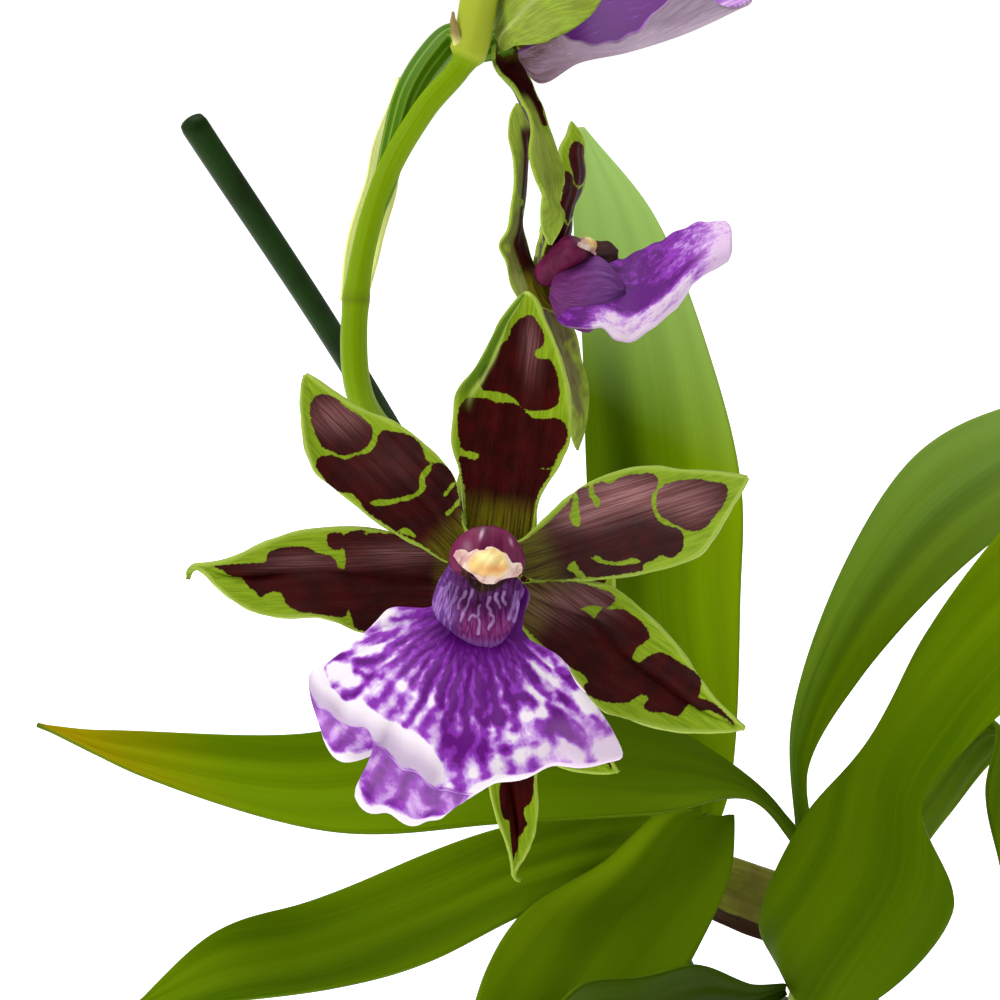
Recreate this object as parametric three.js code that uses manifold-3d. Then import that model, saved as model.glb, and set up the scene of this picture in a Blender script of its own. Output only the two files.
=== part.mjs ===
// A staked zygopetalum orchid in a plain round pot, in millimetres, +Z up.
// The origin is the centre of the pot's underside, and the main bloom faces -Y.
import * as THREE from 'three';
import Module from 'manifold-3d';
import { mergeVertices } from 'three/addons/utils/BufferGeometryUtils.js';

// ---------------------------------------------------------------- driving dimensions
const GAP = 0.3; // clearance between pieces that touch

const POT = { height: 105, topRadius: 56, baseRadius: 41, wall: 1.8, floor: 3, rimHeight: 12, rimLip: 2.2 };
const BARK = { level: 96, crown: 3, lump: 2.4 };
const DRAIN = { count: 5, radius: 4, ring: 24 };

const STAKE_RADIUS = 2.4;
const LEAF_THICKNESS = 1.0;
const TEPAL_THICKNESS = 0.7;
const LIP_THICKNESS = 0.7;

const BASE_RADIUS = 2.4; // where tepals start, measured from the flower's axis
const SEPAL_LAYER = -1.15; // sepals sit behind the petals
const PETAL_LAYER = 0;

// ---------------------------------------------------------------- materials
const colours = {
  pot: ['#2b2d2c', 0.55],
  bark: ['#5a3a22', 0.95],
  root: ['#c9c4a8', 0.8],
  bulb: ['#5f6322', 0.5],
  shoot: ['#6c8f2a', 0.5],
  leaf: ['#4f7f0c', 0.42],
  stake: ['#1d3a1a', 0.45],
  spike: ['#7fa51d', 0.5],
  bract: ['#c3d45f', 0.55],
  pedicel: ['#6f9a22', 0.5],
  tepal: ['#4c1618', 0.5],
  lip: ['#7d3fb0', 0.6],
  column: ['#6a2348', 0.4],
  anther: ['#efd08a', 0.6],
};

const material = (name) => {
  const [color, roughness] = colours[name];
  return new THREE.MeshStandardMaterial({ color, roughness, metalness: 0 });
};

// ---------------------------------------------------------------- solids
const wasm = await Module();
wasm.setup();

const vec = (point) => new THREE.Vector3(...point);
const curveThrough = (points) => new THREE.CatmullRomCurve3(points, false, 'centripetal');
const lerp = THREE.MathUtils.lerp;
const rad = THREE.MathUtils.degToRad;

// A closed mesh from its vertices and triangles, turned so that its faces point out.
function closedSolid(vertices, triangles) {
  let volume = 0;
  for (const [a, b, c] of triangles) {
    volume += vertices[a].dot(vertices[b].clone().cross(vertices[c]));
  }
  const order = volume > 0 ? triangles : triangles.map(([a, b, c]) => [a, c, b]);
  const geometry = new THREE.BufferGeometry();
  geometry.setAttribute('position', new THREE.Float32BufferAttribute(vertices.flatMap((p) => p.toArray()), 3));
  geometry.setIndex(order.flat());
  return geometry;
}

// Joins shared vertices, and drops the flat triangles that a turned profile leaves on its axis.
function weld(geometry) {
  geometry.deleteAttribute('normal');
  geometry.deleteAttribute('uv');
  const merged = mergeVertices(geometry, 1e-4);
  const index = merged.index.array;
  const kept = [];
  for (let i = 0; i < index.length; i += 3) {
    const [a, b, c] = [index[i], index[i + 1], index[i + 2]];
    if (a !== b && b !== c && c !== a) kept.push(a, b, c);
  }
  merged.setIndex(kept);
  return merged;
}

function toManifold(geometry) {
  return new wasm.Manifold(new wasm.Mesh({
    numProp: 3,
    vertProperties: new Float32Array(geometry.attributes.position.array),
    triVerts: new Uint32Array(geometry.index.array),
  }));
}

function toGeometry(manifold) {
  const mesh = manifold.getMesh();
  const geometry = new THREE.BufferGeometry();
  geometry.setAttribute('position', new THREE.Float32BufferAttribute(mesh.vertProperties, 3));
  geometry.setIndex(Array.from(mesh.triVerts));
  return geometry;
}

function cut(geometry, tools) {
  const result = tools.reduce((solid, tool) => solid.subtract(toManifold(tool)), toManifold(geometry));
  return toGeometry(result);
}

function fuse(geometries) {
  return toGeometry(geometries.map(toManifold).reduce((solid, next) => solid.add(next)));
}

// A solid of revolution about Z from [radius, height] pairs.
function turned(profile, segments) {
  const points = profile.map(([radius, height]) => new THREE.Vector2(radius, height));
  const geometry = new THREE.LatheGeometry(points, segments);
  geometry.rotateX(Math.PI / 2);
  const solid = weld(geometry);
  const vertices = [];
  const position = solid.attributes.position;
  for (let i = 0; i < position.count; i += 1) vertices.push(new THREE.Vector3().fromBufferAttribute(position, i));
  const index = solid.index.array;
  const triangles = [];
  for (let i = 0; i < index.length; i += 3) triangles.push([index[i], index[i + 1], index[i + 2]]);
  return closedSolid(vertices, triangles);
}

// A value read along evenly spaced stations, u from 0 to 1.
function along(values, u) {
  const place = THREE.MathUtils.clamp(u, 0, 1) * (values.length - 1);
  const first = Math.min(Math.floor(place), values.length - 2);
  return lerp(values[first], values[first + 1], place - first);
}

// A round stem that follows a path, with radii spread evenly along it. Both ends are closed.
function stem(points, radii, { sides = 8, steps = 16, grow = 0 } = {}) {
  const path = curveThrough(points);
  const frames = path.computeFrenetFrames(steps, false);
  const vertices = [path.getPointAt(0), path.getPointAt(1)];
  const triangles = [];
  const ring = (i, k) => 2 + i * sides + (k % sides);
  for (let i = 0; i <= steps; i += 1) {
    const centre = path.getPointAt(i / steps);
    const radius = along(radii, i / steps) + grow;
    for (let k = 0; k < sides; k += 1) {
      const angle = (2 * Math.PI * k) / sides;
      const side = frames.normals[i].clone().multiplyScalar(Math.cos(angle) * radius);
      side.addScaledVector(frames.binormals[i], Math.sin(angle) * radius);
      vertices.push(centre.clone().add(side));
    }
  }
  for (let k = 0; k < sides; k += 1) {
    triangles.push([0, ring(0, k + 1), ring(0, k)], [1, ring(steps, k), ring(steps, k + 1)]);
    for (let i = 0; i < steps; i += 1) {
      triangles.push([ring(i, k), ring(i, k + 1), ring(i + 1, k + 1)]);
      triangles.push([ring(i, k), ring(i + 1, k + 1), ring(i + 1, k)]);
    }
  }
  return closedSolid(vertices, triangles);
}

// A thin sheet over a grid of points, grid[i][j], made solid by half its thickness to each side.
function sheet(grid, thickness) {
  const rows = grid.length;
  const columns = grid[0].length;
  const vertices = [];
  const triangles = [];
  const at = (i, j) => grid[THREE.MathUtils.clamp(i, 0, rows - 1)][THREE.MathUtils.clamp(j, 0, columns - 1)];
  for (const side of [0.5, -0.5]) {
    for (let i = 0; i < rows; i += 1) {
      for (let j = 0; j < columns; j += 1) {
        const down = at(i + 1, j).clone().sub(at(i - 1, j));
        const across = at(i, j + 1).clone().sub(at(i, j - 1));
        const normal = down.cross(across).normalize();
        vertices.push(grid[i][j].clone().addScaledVector(normal, side * thickness));
      }
    }
  }
  const front = (i, j) => i * columns + j;
  const back = (i, j) => rows * columns + front(i, j);
  const quad = (a, b, c, d) => triangles.push([a, b, c], [a, c, d]);
  for (let i = 0; i < rows - 1; i += 1) {
    for (let j = 0; j < columns - 1; j += 1) {
      quad(front(i, j), front(i + 1, j), front(i + 1, j + 1), front(i, j + 1));
      triangles.push([back(i, j), back(i + 1, j + 1), back(i + 1, j)]);
      triangles.push([back(i, j), back(i, j + 1), back(i + 1, j + 1)]);
    }
    quad(front(i, 0), back(i, 0), back(i + 1, 0), front(i + 1, 0));
    quad(front(i, columns - 1), front(i + 1, columns - 1), back(i + 1, columns - 1), back(i, columns - 1));
  }
  for (let j = 0; j < columns - 1; j += 1) {
    quad(front(0, j), front(0, j + 1), back(0, j + 1), back(0, j));
    quad(front(rows - 1, j), back(rows - 1, j), back(rows - 1, j + 1), front(rows - 1, j + 1));
  }
  return closedSolid(vertices, triangles);
}

// A leaf or bract between its two edges. Its midrib lies `fold` deep, and its margins wave.
function blade(left, right, { fold = 3, wave = 0, waves = 3, steps = 14, thickness = LEAF_THICKNESS } = {}) {
  const leftEdge = curveThrough(left.map(vec));
  const rightEdge = curveThrough(right.map(vec));
  const across = 4;
  const middle = (u) => leftEdge.getPoint(u).add(rightEdge.getPoint(u)).multiplyScalar(0.5);
  const width = left.map((point, i) => vec(point).distanceTo(vec(right[i])));
  const widest = Math.max(...width);
  const grid = [];
  for (let i = 0; i <= steps; i += 1) {
    const u = i / steps;
    const a = leftEdge.getPoint(u);
    const b = rightEdge.getPoint(u);
    const run = middle(Math.min(1, u + 0.01)).sub(middle(Math.max(0, u - 0.01)));
    const normal = b.clone().sub(a).cross(run).normalize();
    const share = a.distanceTo(b) / widest;
    const row = [];
    for (let j = 0; j <= across; j += 1) {
      const s = (2 * j) / across - 1;
      const ripple = wave * share * s * s * Math.sin(2 * Math.PI * waves * u + (s > 0 ? 1.3 : 0));
      const depth = fold * share * (1 - Math.abs(s) ** 1.4) - ripple;
      row.push(a.clone().lerp(b, j / across).addScaledVector(normal, depth));
    }
    grid.push(row);
  }
  return sheet(grid, thickness);
}

// ---------------------------------------------------------------- pot and bark
const innerRadius = (height) => lerp(POT.baseRadius, POT.topRadius, height / POT.height) - POT.wall;

function makePot() {
  const { height, topRadius, baseRadius, wall, floor, rimHeight, rimLip } = POT;
  const underRim = lerp(baseRadius, topRadius, (height - rimHeight) / height);
  const body = turned([
    [0, 0],
    [baseRadius - 1.5, 0],
    [baseRadius, 1.5],
    [underRim, height - rimHeight],
    [topRadius + rimLip, height - rimHeight + 1],
    [topRadius + rimLip, height - 0.8],
    [topRadius + rimLip - 0.8, height],
    [topRadius - wall, height],
    [innerRadius(floor), floor],
    [0, floor],
  ], 36);
  const holes = [];
  for (let i = 0; i < DRAIN.count; i += 1) {
    const hole = new THREE.CylinderGeometry(DRAIN.radius, DRAIN.radius, 4 * floor, 12);
    hole.rotateX(Math.PI / 2);
    const angle = (2 * Math.PI * i) / DRAIN.count;
    hole.translate(DRAIN.ring * Math.cos(angle), DRAIN.ring * Math.sin(angle), 0);
    holes.push(weld(hole));
  }
  return cut(body, holes);
}

function makeBark(holes) {
  const floor = POT.floor + GAP;
  const rings = [0.86, 0.7, 0.53, 0.35, 0.17];
  const edge = innerRadius(BARK.level) - GAP;
  const profile = [[0, floor], [innerRadius(floor) - GAP, floor], [edge, BARK.level]];
  for (const share of rings) profile.push([edge * share, BARK.level + BARK.crown * (1 - share)]);
  profile.push([0, BARK.level + BARK.crown]);
  const solid = turned(profile, 24);
  const position = solid.attributes.position;
  for (let i = 0; i < position.count; i += 1) {
    const [x, y, z] = [position.getX(i), position.getY(i), position.getZ(i)];
    if (z < BARK.level + 0.1) continue;
    const lump = Math.sin(x * 0.9 + y * 0.5) * Math.cos(y * 0.8 - x * 0.3);
    position.setZ(i, z + BARK.lump * lump);
  }
  return cut(solid, holes);
}

// ---------------------------------------------------------------- growths in the pot
const RHIZOME = [[24, 14, 84], [19, 13, 104], [14, 12, 124], [8, 15, 146]].map(vec);
const ROOTS = [
  [[18, 12, 108], [34, 4, 112], [42, -8, 100], [40, -16, 86]],
  [[16, 12, 116], [28, 26, 118], [33, 34, 104], [30, 38, 88]],
  [[14, 12, 122], [-4, 6, 120], [-14, -6, 106], [-16, -14, 86]],
  [[17, 12, 110], [22, -6, 114], [18, -24, 104], [12, -30, 86]],
].map((route) => route.map(vec));
const OLD_BULB = [[5, 16, 152], [-2, 15, 163], [-16, 13, 171], [-30, 12, 178], [-38, 11, 183]].map(vec);
const TALL_BULB = [[14, 12, 122], [8, 12, 146], [3, 14, 168], [-2, 14, 186]].map(vec);
const NEW_SHOOT = [[14, 6, 84], [8, 3, 116], [-1, -3, 144], [-6, -7, 157]].map(vec);

const rhizome = (grow) => stem(RHIZOME, [4, 4.5, 5, 3.5], { sides: 10, steps: 8, grow });
const root = (route, grow) => stem(route, [1.8, 1.9, 1.9, 1.7], { sides: 7, steps: 9, grow });
const oldBulb = (grow) => stem(OLD_BULB, [4.5, 7.6, 9, 9, 8.6, 6.8, 1.8], { sides: 14, steps: 12, grow });
const tallBulb = (grow) => stem(TALL_BULB, [5, 9.5, 11.5, 10, 6, 2.6, 2.2], { sides: 14, steps: 14, grow });
const newShoot = (grow) => stem(NEW_SHOOT, [4.5, 6, 5.5, 3.6, 2.4], { sides: 10, steps: 10, grow });

// ---------------------------------------------------------------- stake and flower spike
const STAKE = [[-133, -63, 383], [-105, -37, 323], [-31, 33, 140], [-16, 40, 97], [-10, 37, 25]].map(vec);
const SPIKE = [
  [16, 17, 84], [6, 25, 126], [-1, 31, 150], [-15, 31, 162], [-29, 28, 175], [-39, 23, 195], [-46, 15, 218],
  [-58, -5, 252], [-73, -37, 286], [-86, -77, 316], [-95, -105, 337], [-101, -115, 351], [-101, -113, 366],
  [-97, -107, 381], [-91, -105, 391], [-85, -103, 398], [-83, -102, 406], [-82, -103, 411],
].map(vec);
const SPIKE_RADII = [
  2.9, 2.8, 2.7, 2.7, 2.6, 2.5, 2.5, 2.4, 2.3, 2.3, 2.3, 2.2, 2.2, 2.1, 2.1, 2.2, 2.1, 1.8, 1.8, 2.8, 1.6,
];

const spike = (grow) => stem(SPIKE, SPIKE_RADII, { sides: 10, steps: 34, grow });

function stake(radius) {
  const section = new THREE.Shape();
  section.absarc(0, 0, radius, 0, 2 * Math.PI);
  const path = curveThrough(STAKE);
  return weld(new THREE.ExtrudeGeometry(section, { steps: 12, curveSegments: 8, extrudePath: path }));
}

// ---------------------------------------------------------------- leaves, by their two edges
const LEAVES = {
  leaf_tall_back: {
    left: [[-29, 14, 183], [-33, 21, 195], [-54, 44, 230], [-57, 66, 269], [-58, 86, 302], [-60, 103, 331],
      [-59, 114, 351]],
    right: [[-27, 15, 184], [-21, 22, 198], [-17, 48, 240], [-16, 64, 264], [-23, 83, 294], [-38, 102, 329],
      [-57, 114, 351]],
    fold: 5,
    wave: 0.8,
  },
  leaf_left: {
    left: [[-1, 12, 188], [-16, 12, 206], [-44, 3, 230], [-80, -12, 246], [-124, -30, 244], [-163, -39, 250],
      [-177, -41, 254]],
    right: [[-4, 12, 186], [-17, 7, 204], [-45, -20, 217], [-80, -37, 226], [-116, -50, 232], [-153, -49, 245],
      [-177, -43, 254]],
    fold: 5,
    wave: 1,
  },
  leaf_low_left: {
    left: [[-31, 10, 185], [-43, 9, 202], [-72, -8, 208], [-98, -23, 208], [-124, -39, 206], [-142, -53, 208],
      [-156, -69, 202]],
    right: [[-30, 8, 182], [-46, -8, 191], [-71, -28, 197], [-95, -49, 199], [-116, -61, 200], [-136, -68, 203],
      [-156, -70, 201]],
    fold: 4,
    wave: 0.8,
  },
  leaf_front: {
    left: [[-27, 6, 186], [-37, 3, 205], [-56, -17, 202], [-75, -33, 199], [-83, -48, 195], [-88, -66, 188],
      [-92, -83, 182]],
    right: [[-25, 6, 185], [-22, 5, 201], [-24, -7, 194], [-32, -25, 187], [-45, -45, 182], [-65, -65, 179],
      [-91, -84, 182]],
    fold: 5,
    wave: 1,
  },
  leaf_low_front: {
    left: [[-9, -9, 161], [-18, -17, 167], [-34, -33, 185], [-49, -49, 194], [-63, -61, 201], [-72, -74, 201],
      [-79, -86, 199]],
    right: [[-9, -11, 159], [-17, -22, 162], [-31, -45, 171], [-46, -63, 176], [-60, -75, 183], [-71, -84, 190],
      [-78, -87, 199]],
    fold: 4,
    wave: 0.8,
  },
  leaf_right_high: {
    left: [[-4, 16, 187], [-5, 27, 216], [8, 47, 246], [30, 66, 273], [55, 78, 282], [79, 87, 283],
      [108, 96, 279]],
    right: [[0, 16, 187], [-1, 21, 206], [12, 31, 225], [36, 44, 247], [62, 59, 262], [85, 76, 271],
      [108, 94, 277]],
    fold: 4,
    wave: 1,
  },
  leaf_right_broad: {
    left: [[-8, -9, 161], [-16, -8, 178], [-7, -4, 205], [9, 1, 225], [22, 10, 248], [44, 25, 272],
      [67, 40, 283], [83, 51, 284]],
    right: [[-4, -11, 159], [9, -20, 167], [27, -20, 193], [21, -12, 215], [34, -5, 230], [56, 7, 246],
      [72, 28, 265], [84, 49, 283]],
    fold: 5,
    wave: 1.6,
    waves: 4,
    steps: 18,
  },
  leaf_right_drooping: {
    left: [[-5, -5, 159], [10, 12, 177], [25, 25, 199], [39, 32, 217], [46, 25, 216], [42, 12, 204],
      [44, -1, 189]],
    right: [[-3, -6, 157], [17, 9, 171], [36, 21, 191], [53, 30, 206], [64, 26, 208], [61, 12, 198],
      [46, -1, 188]],
    fold: 3,
    wave: 0.8,
  },
};

const BRACT = {
  left: [[-104, -111, 364], [-104, -105, 372], [-102, -100, 378], [-100, -97, 385], [-95, -96, 394]],
  right: [[-100, -110, 363], [-98, -103, 370], [-96, -96, 377], [-95, -94, 385], [-95, -94, 394]],
};

// ---------------------------------------------------------------- the flower, in its own frame
// Each flower faces its own +Z, its dorsal sepal up +Y. Tepals run out from the axis, and their
// half widths are given at these shares of their length.
const STATIONS = [0.06, 0.2, 0.35, 0.5, 0.65, 0.8, 0.92, 1];

const TEPALS = {
  dorsal_sepal: {
    angle: 82, length: 36.6, layer: SEPAL_LAYER, arch: 2, cup: 1.4,
    left: [2, 4.8, 6.4, 7.9, 7.3, 5, 2.3, 0.5],
    right: [2, 5.4, 7.5, 8.6, 7.7, 5.3, 2.7, 0.5],
  },
  petal_left: {
    angle: 134.5, length: 35.2, layer: PETAL_LAYER, arch: 2, cup: 1,
    left: [1.9, 5.2, 6.7, 7.6, 8.4, 7.3, 3.9, 0.5],
    right: [1.7, 2.4, 4.4, 4.7, 3.7, 2, 1.1, 0.5],
  },
  petal_right: {
    angle: 17.6, length: 36.3, layer: PETAL_LAYER, arch: 2, cup: 1,
    left: [1.7, 2.6, 5.2, 6.2, 5.7, 3.6, 1.7, 0.5],
    right: [1.9, 4.8, 6.9, 8.1, 8.5, 6.5, 3.6, 0.5],
  },
  lateral_sepal_left: {
    angle: 181.6, length: 39.8, layer: SEPAL_LAYER, arch: 1, cup: 1.2,
    left: [1.9, 5, 7.6, 8.2, 6.9, 5.7, 3, 0.5],
    right: [1.7, 2, 4.2, 5, 4.1, 2.5, 1.1, 0.5],
  },
  lateral_sepal_right: {
    angle: -32.9, length: 41.1, layer: SEPAL_LAYER, arch: 1, cup: 1.2,
    left: [1.7, 2.4, 5.6, 5.7, 4.6, 2.6, 1, 0.5],
    right: [1.9, 4.5, 6.7, 7.9, 7.8, 5.8, 2.7, 0.5],
  },
};

function stationValue(values, share) {
  const next = Math.max(1, STATIONS.findIndex((station) => station >= share));
  const part = (share - STATIONS[next - 1]) / (STATIONS[next] - STATIONS[next - 1]);
  return lerp(values[next - 1], values[next], part);
}

function tepal({ angle, length, layer, arch, cup, left, right, lift = 0 }, size) {
  const steps = 9;
  const across = 4;
  const start = STATIONS[0];
  const turn = new THREE.Matrix4().makeRotationZ(rad(angle));
  turn.multiply(new THREE.Matrix4().makeTranslation(BASE_RADIUS, 0, 0));
  turn.multiply(new THREE.Matrix4().makeRotationY(-rad(lift)));
  turn.multiply(new THREE.Matrix4().makeTranslation(-BASE_RADIUS, 0, 0));
  const grid = [];
  for (let i = 0; i <= steps; i += 1) {
    const share = lerp(start, 1, i / steps);
    const out = BASE_RADIUS + (length * size - BASE_RADIUS) * (i / steps);
    const row = [];
    for (let j = 0; j <= across; j += 1) {
      const s = (2 * j) / across - 1;
      const half = stationValue(s > 0 ? left : right, share) * (i < 1 ? 1 : size);
      const curl = cup * s * s * THREE.MathUtils.smoothstep(share, 0.35, 0.7) * (1 - share ** 6);
      row.push(new THREE.Vector3(out, s * half, layer + arch * share * share + curl).applyMatrix4(turn));
    }
    grid.push(row);
  }
  return sheet(grid, TEPAL_THICKNESS);
}

// The lip, row by row from the claw under the column to the hem that rolls under its rim.
// Each row runs from the flower's left to its right.
const LIP_ROWS = [
  [-1.8, -1.4, -1.1, -0.7, -0.4, 0, 0.4, 0.7, 1.1, 1.4, 1.8].map((x) => [x, -2.4, 1.2]),
  [[-5.7, -2.1, 5], [-5.3, -2.9, 4.6], [-4.6, -3.6, 4.3], [-3.9, -4.1, 4], [-2.9, -4.5, 3.8], [-1.7, -4.7, 3.7],
    [-0.4, -4.7, 3.7], [0.9, -4.7, 3.8], [2.3, -4.4, 4], [3.6, -4.1, 4.5], [4.8, -3.7, 5]],
  [[-7.9, -5.8, 7], [-7.1, -7.2, 7.6], [-6.3, -8.2, 8], [-5.3, -9.1, 8.5], [-4.2, -9.9, 9], [-2.9, -10.4, 9.3],
    [-1.4, -10.8, 9.5], [0.3, -10.9, 9.5], [1.8, -10.5, 9], [3.1, -9.9, 8.2], [3.9, -9.2, 7.4]],
  [[-12.4, -6.8, 8], [-16.2, -11, 10], [-14.4, -12.2, 12], [-12.1, -13.1, 13.5], [-9.1, -14.2, 14.5],
    [-6.1, -15.4, 15], [-3.2, -16.4, 15], [1.3, -17, 14.5], [5.3, -16.8, 13.5], [9.3, -17, 11.5], [8.6, -12.3, 9.5]],
  [[-15.5, -8.9, 7], [-21.4, -14, 10], [-18.6, -15.4, 12], [-15, -16.2, 14.5], [-11.2, -17.5, 17],
    [-7.5, -20.2, 18.5], [-4.7, -22.6, 19], [1.9, -23.4, 18.5], [8.1, -22.3, 17], [14, -21.7, 13], [10.6, -15.8, 9.5]],
  [[-17.1, -10.3, 6], [-23.5, -15.3, 9], [-21.1, -17.6, 11], [-16.3, -20.9, 13], [-13, -22, 15.5],
    [-8.1, -25.6, 17.5], [-4.4, -27.6, 18], [1.9, -26.6, 18], [8.8, -25.1, 16], [16.3, -24.6, 12], [12.1, -17.3, 9]],
  [[-18.3, -12.2, 4.5], [-22.6, -19.1, 6.5], [-20.5, -25.7, 8], [-14.6, -24.1, 10.5], [-17.2, -30.4, 12],
    [-12.5, -32, 14], [-7.3, -32.8, 15], [-0.6, -26.4, 14.5], [7.7, -24.5, 13], [14.9, -23.9, 10], [11.4, -17, 8]],
];
const LIP_HINGE = new THREE.Vector3(0, -8, 6);

function lip(raise, size) {
  const rows = LIP_ROWS.map((row) => curveThrough(row.map(vec)));
  const [across, down] = [12, 9];
  const crosswise = new THREE.Vector3(1, 0, 0);
  const grid = [];
  for (let i = 0; i <= down; i += 1) {
    const bend = rad(-raise) * THREE.MathUtils.smoothstep(i / down, 0.1, 0.5);
    const row = [];
    for (let j = 0; j <= across; j += 1) {
      const point = curveThrough(rows.map((edge) => edge.getPoint(j / across))).getPoint(i / down);
      point.sub(LIP_HINGE).applyAxisAngle(crosswise, bend).add(LIP_HINGE);
      row.push(point.multiplyScalar(size));
    }
    grid.push(row);
  }
  return sheet(grid, LIP_THICKNESS);
}

const column = (size) => stem(
  [[0, 0.8, 1], [0, 1.6, 4], [0, 1.2, 8], [0, 0.4, 11.5]].map((point) => vec(point).multiplyScalar(size)),
  [2.4, 2.9, 3.6, 4.5, 5, 4.9, 4].map((radius) => radius * size),
  { sides: 10, steps: 8 },
);

function antherCap(size) {
  const cap = new THREE.SphereGeometry(1, 10, 7);
  cap.scale(4.4, 2.3, 1.5);
  cap.translate(-0.2, -0.9, 13.3);
  cap.scale(size, size, size);
  return weld(cap);
}

// ---------------------------------------------------------------- where the flowers hang
// `azimuth` turns a flower that faces -Y to the left or right, `elevation` tips it up, and `roll`
// turns it about its own axis. `stalk` leads its pedicel to the spike.
const FLOWERS = {
  main: {
    centre: [-81, -146, 337], azimuth: 0, elevation: 24, roll: 0, size: 1, lipSize: 1, raise: 0, neck: 7,
    stalk: [[-85, -121, 330], [-90, -101, 329]],
  },
  side: {
    centre: [-74, -63, 356], azimuth: 84, elevation: 0, roll: -12, size: 0.84, lipSize: 1.05, raise: 96, neck: 2.6,
    stalk: [[-77.5, -67, 349], [-78, -75, 341], [-80, -82, 331], [-84, -82, 322], [-86, -78, 317]],
    own: {
      dorsal_sepal: { angle: 98, lift: -5 },
      petal_left: { angle: 120, lift: 13 },
      lateral_sepal_left: { angle: 264, lift: 10 },
      lateral_sepal_right: { angle: -42, layer: -2.3 },
    },
  },
  top: {
    centre: [-78, -97, 400], azimuth: 80, elevation: 14, roll: -12, size: 0.9, lipSize: 1.05, raise: 90, neck: 5,
    stalk: [[-90, -95, 398], [-95, -98, 389], [-99, -103, 380], [-101, -112, 371]],
    own: {
      petal_left: { angle: 142, lift: 44 },
      lateral_sepal_left: { angle: 266, lift: -3 },
      lateral_sepal_right: { angle: -34, layer: -2.5, length: 36 },
    },
  },
  rear: {
    centre: [-80, -101, 302], azimuth: 0, elevation: 20, roll: 0, size: 0.98, lipSize: 0.9, raise: 48, neck: 7,
    stalk: [[-76, -72, 290], [-71, -45, 279], [-66, -22, 272]],
    own: {
      dorsal_sepal: { angle: 96, lift: 22 },
      petal_left: { angle: 152, lift: 12 },
      petal_right: { angle: 40, lift: 16 },
      lateral_sepal_left: { angle: -81, layer: -2.3 },
      lateral_sepal_right: { angle: -46, lift: 14, length: 29 },
    },
  },
};

function flowerTurn({ azimuth, elevation, roll }) {
  const [x, z] = [new THREE.Vector3(1, 0, 0), new THREE.Vector3(0, 0, 1)];
  const turn = new THREE.Quaternion().setFromAxisAngle(z, rad(azimuth));
  turn.multiply(new THREE.Quaternion().setFromAxisAngle(x, rad(90 - elevation)));
  return turn.multiply(new THREE.Quaternion().setFromAxisAngle(z, rad(roll)));
}

// The stalk starts inside the ring of tepals and runs back to the spike, which trims its end.
function pedicel(flower) {
  const centre = vec(flower.centre);
  const back = new THREE.Vector3(0, 0, -1).applyQuaternion(flowerTurn(flower));
  const start = centre.clone().addScaledVector(back, -0.2);
  const neck = centre.clone().addScaledVector(back, flower.neck);
  const route = [start, neck, ...flower.stalk.map(vec)];
  const radii = [1.9, 2.1, 2, 1.7, 1.5].map((radius) => radius * flower.size);
  return cut(stem(route, radii, { sides: 8, steps: 12 }), [spike(GAP)]);
}

// ---------------------------------------------------------------- assembly
const orchid = new THREE.Group();

function place(parent, name, geometry, look) {
  const mesh = new THREE.Mesh(geometry, material(look));
  mesh.name = name;
  parent.add(mesh);
}

place(orchid, 'pot', makePot(), 'pot');
place(orchid, 'potting_bark', makeBark([
  rhizome(GAP),
  ...ROOTS.map((route) => root(route, GAP)),
  newShoot(GAP),
  spike(GAP),
  stake(STAKE_RADIUS + GAP),
]), 'bark');
const runners = (grow) => [rhizome(grow), ...ROOTS.map((route) => root(route, grow))];
place(orchid, 'rhizome_and_roots', fuse(runners(0)), 'root');
place(orchid, 'pseudobulb_old', cut(oldBulb(0), runners(GAP)), 'bulb');
place(orchid, 'pseudobulb_tall', cut(tallBulb(0), [...runners(GAP), oldBulb(GAP)]), 'bulb');
place(orchid, 'new_shoot', cut(newShoot(0), [...runners(GAP), tallBulb(GAP)]), 'shoot');
place(orchid, 'stake', stake(STAKE_RADIUS), 'stake');
place(orchid, 'flower_spike', spike(0), 'spike');
place(orchid, 'bract', cut(blade(BRACT.left, BRACT.right, { fold: -1.5, thickness: 0.7, steps: 8 }), [
  spike(GAP),
]), 'bract');

const leafSeats = [oldBulb(GAP), tallBulb(GAP), newShoot(GAP)];
for (const [name, { left, right, ...form }] of Object.entries(LEAVES)) {
  place(orchid, name, cut(blade(left, right, form), leafSeats), 'leaf');
}

for (const [name, flower] of Object.entries(FLOWERS)) {
  place(orchid, `${name}_pedicel`, pedicel(flower), 'pedicel');
  const bloom = new THREE.Group();
  bloom.position.set(...flower.centre);
  bloom.quaternion.copy(flowerTurn(flower));
  for (const [part, form] of Object.entries(TEPALS)) {
    place(bloom, `${name}_${part}`, tepal({ ...form, ...flower.own?.[part] }, flower.size), 'tepal');
  }
  place(bloom, `${name}_lip`, lip(flower.raise, flower.lipSize), 'lip');
  place(bloom, `${name}_column`, column(flower.size), 'column');
  place(bloom, `${name}_anther_cap`, antherCap(flower.size), 'anther');
  orchid.add(bloom);
}

export default orchid;
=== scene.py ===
"""A staked zygopetalum orchid in a round pot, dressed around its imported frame, in metres."""

import math

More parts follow.
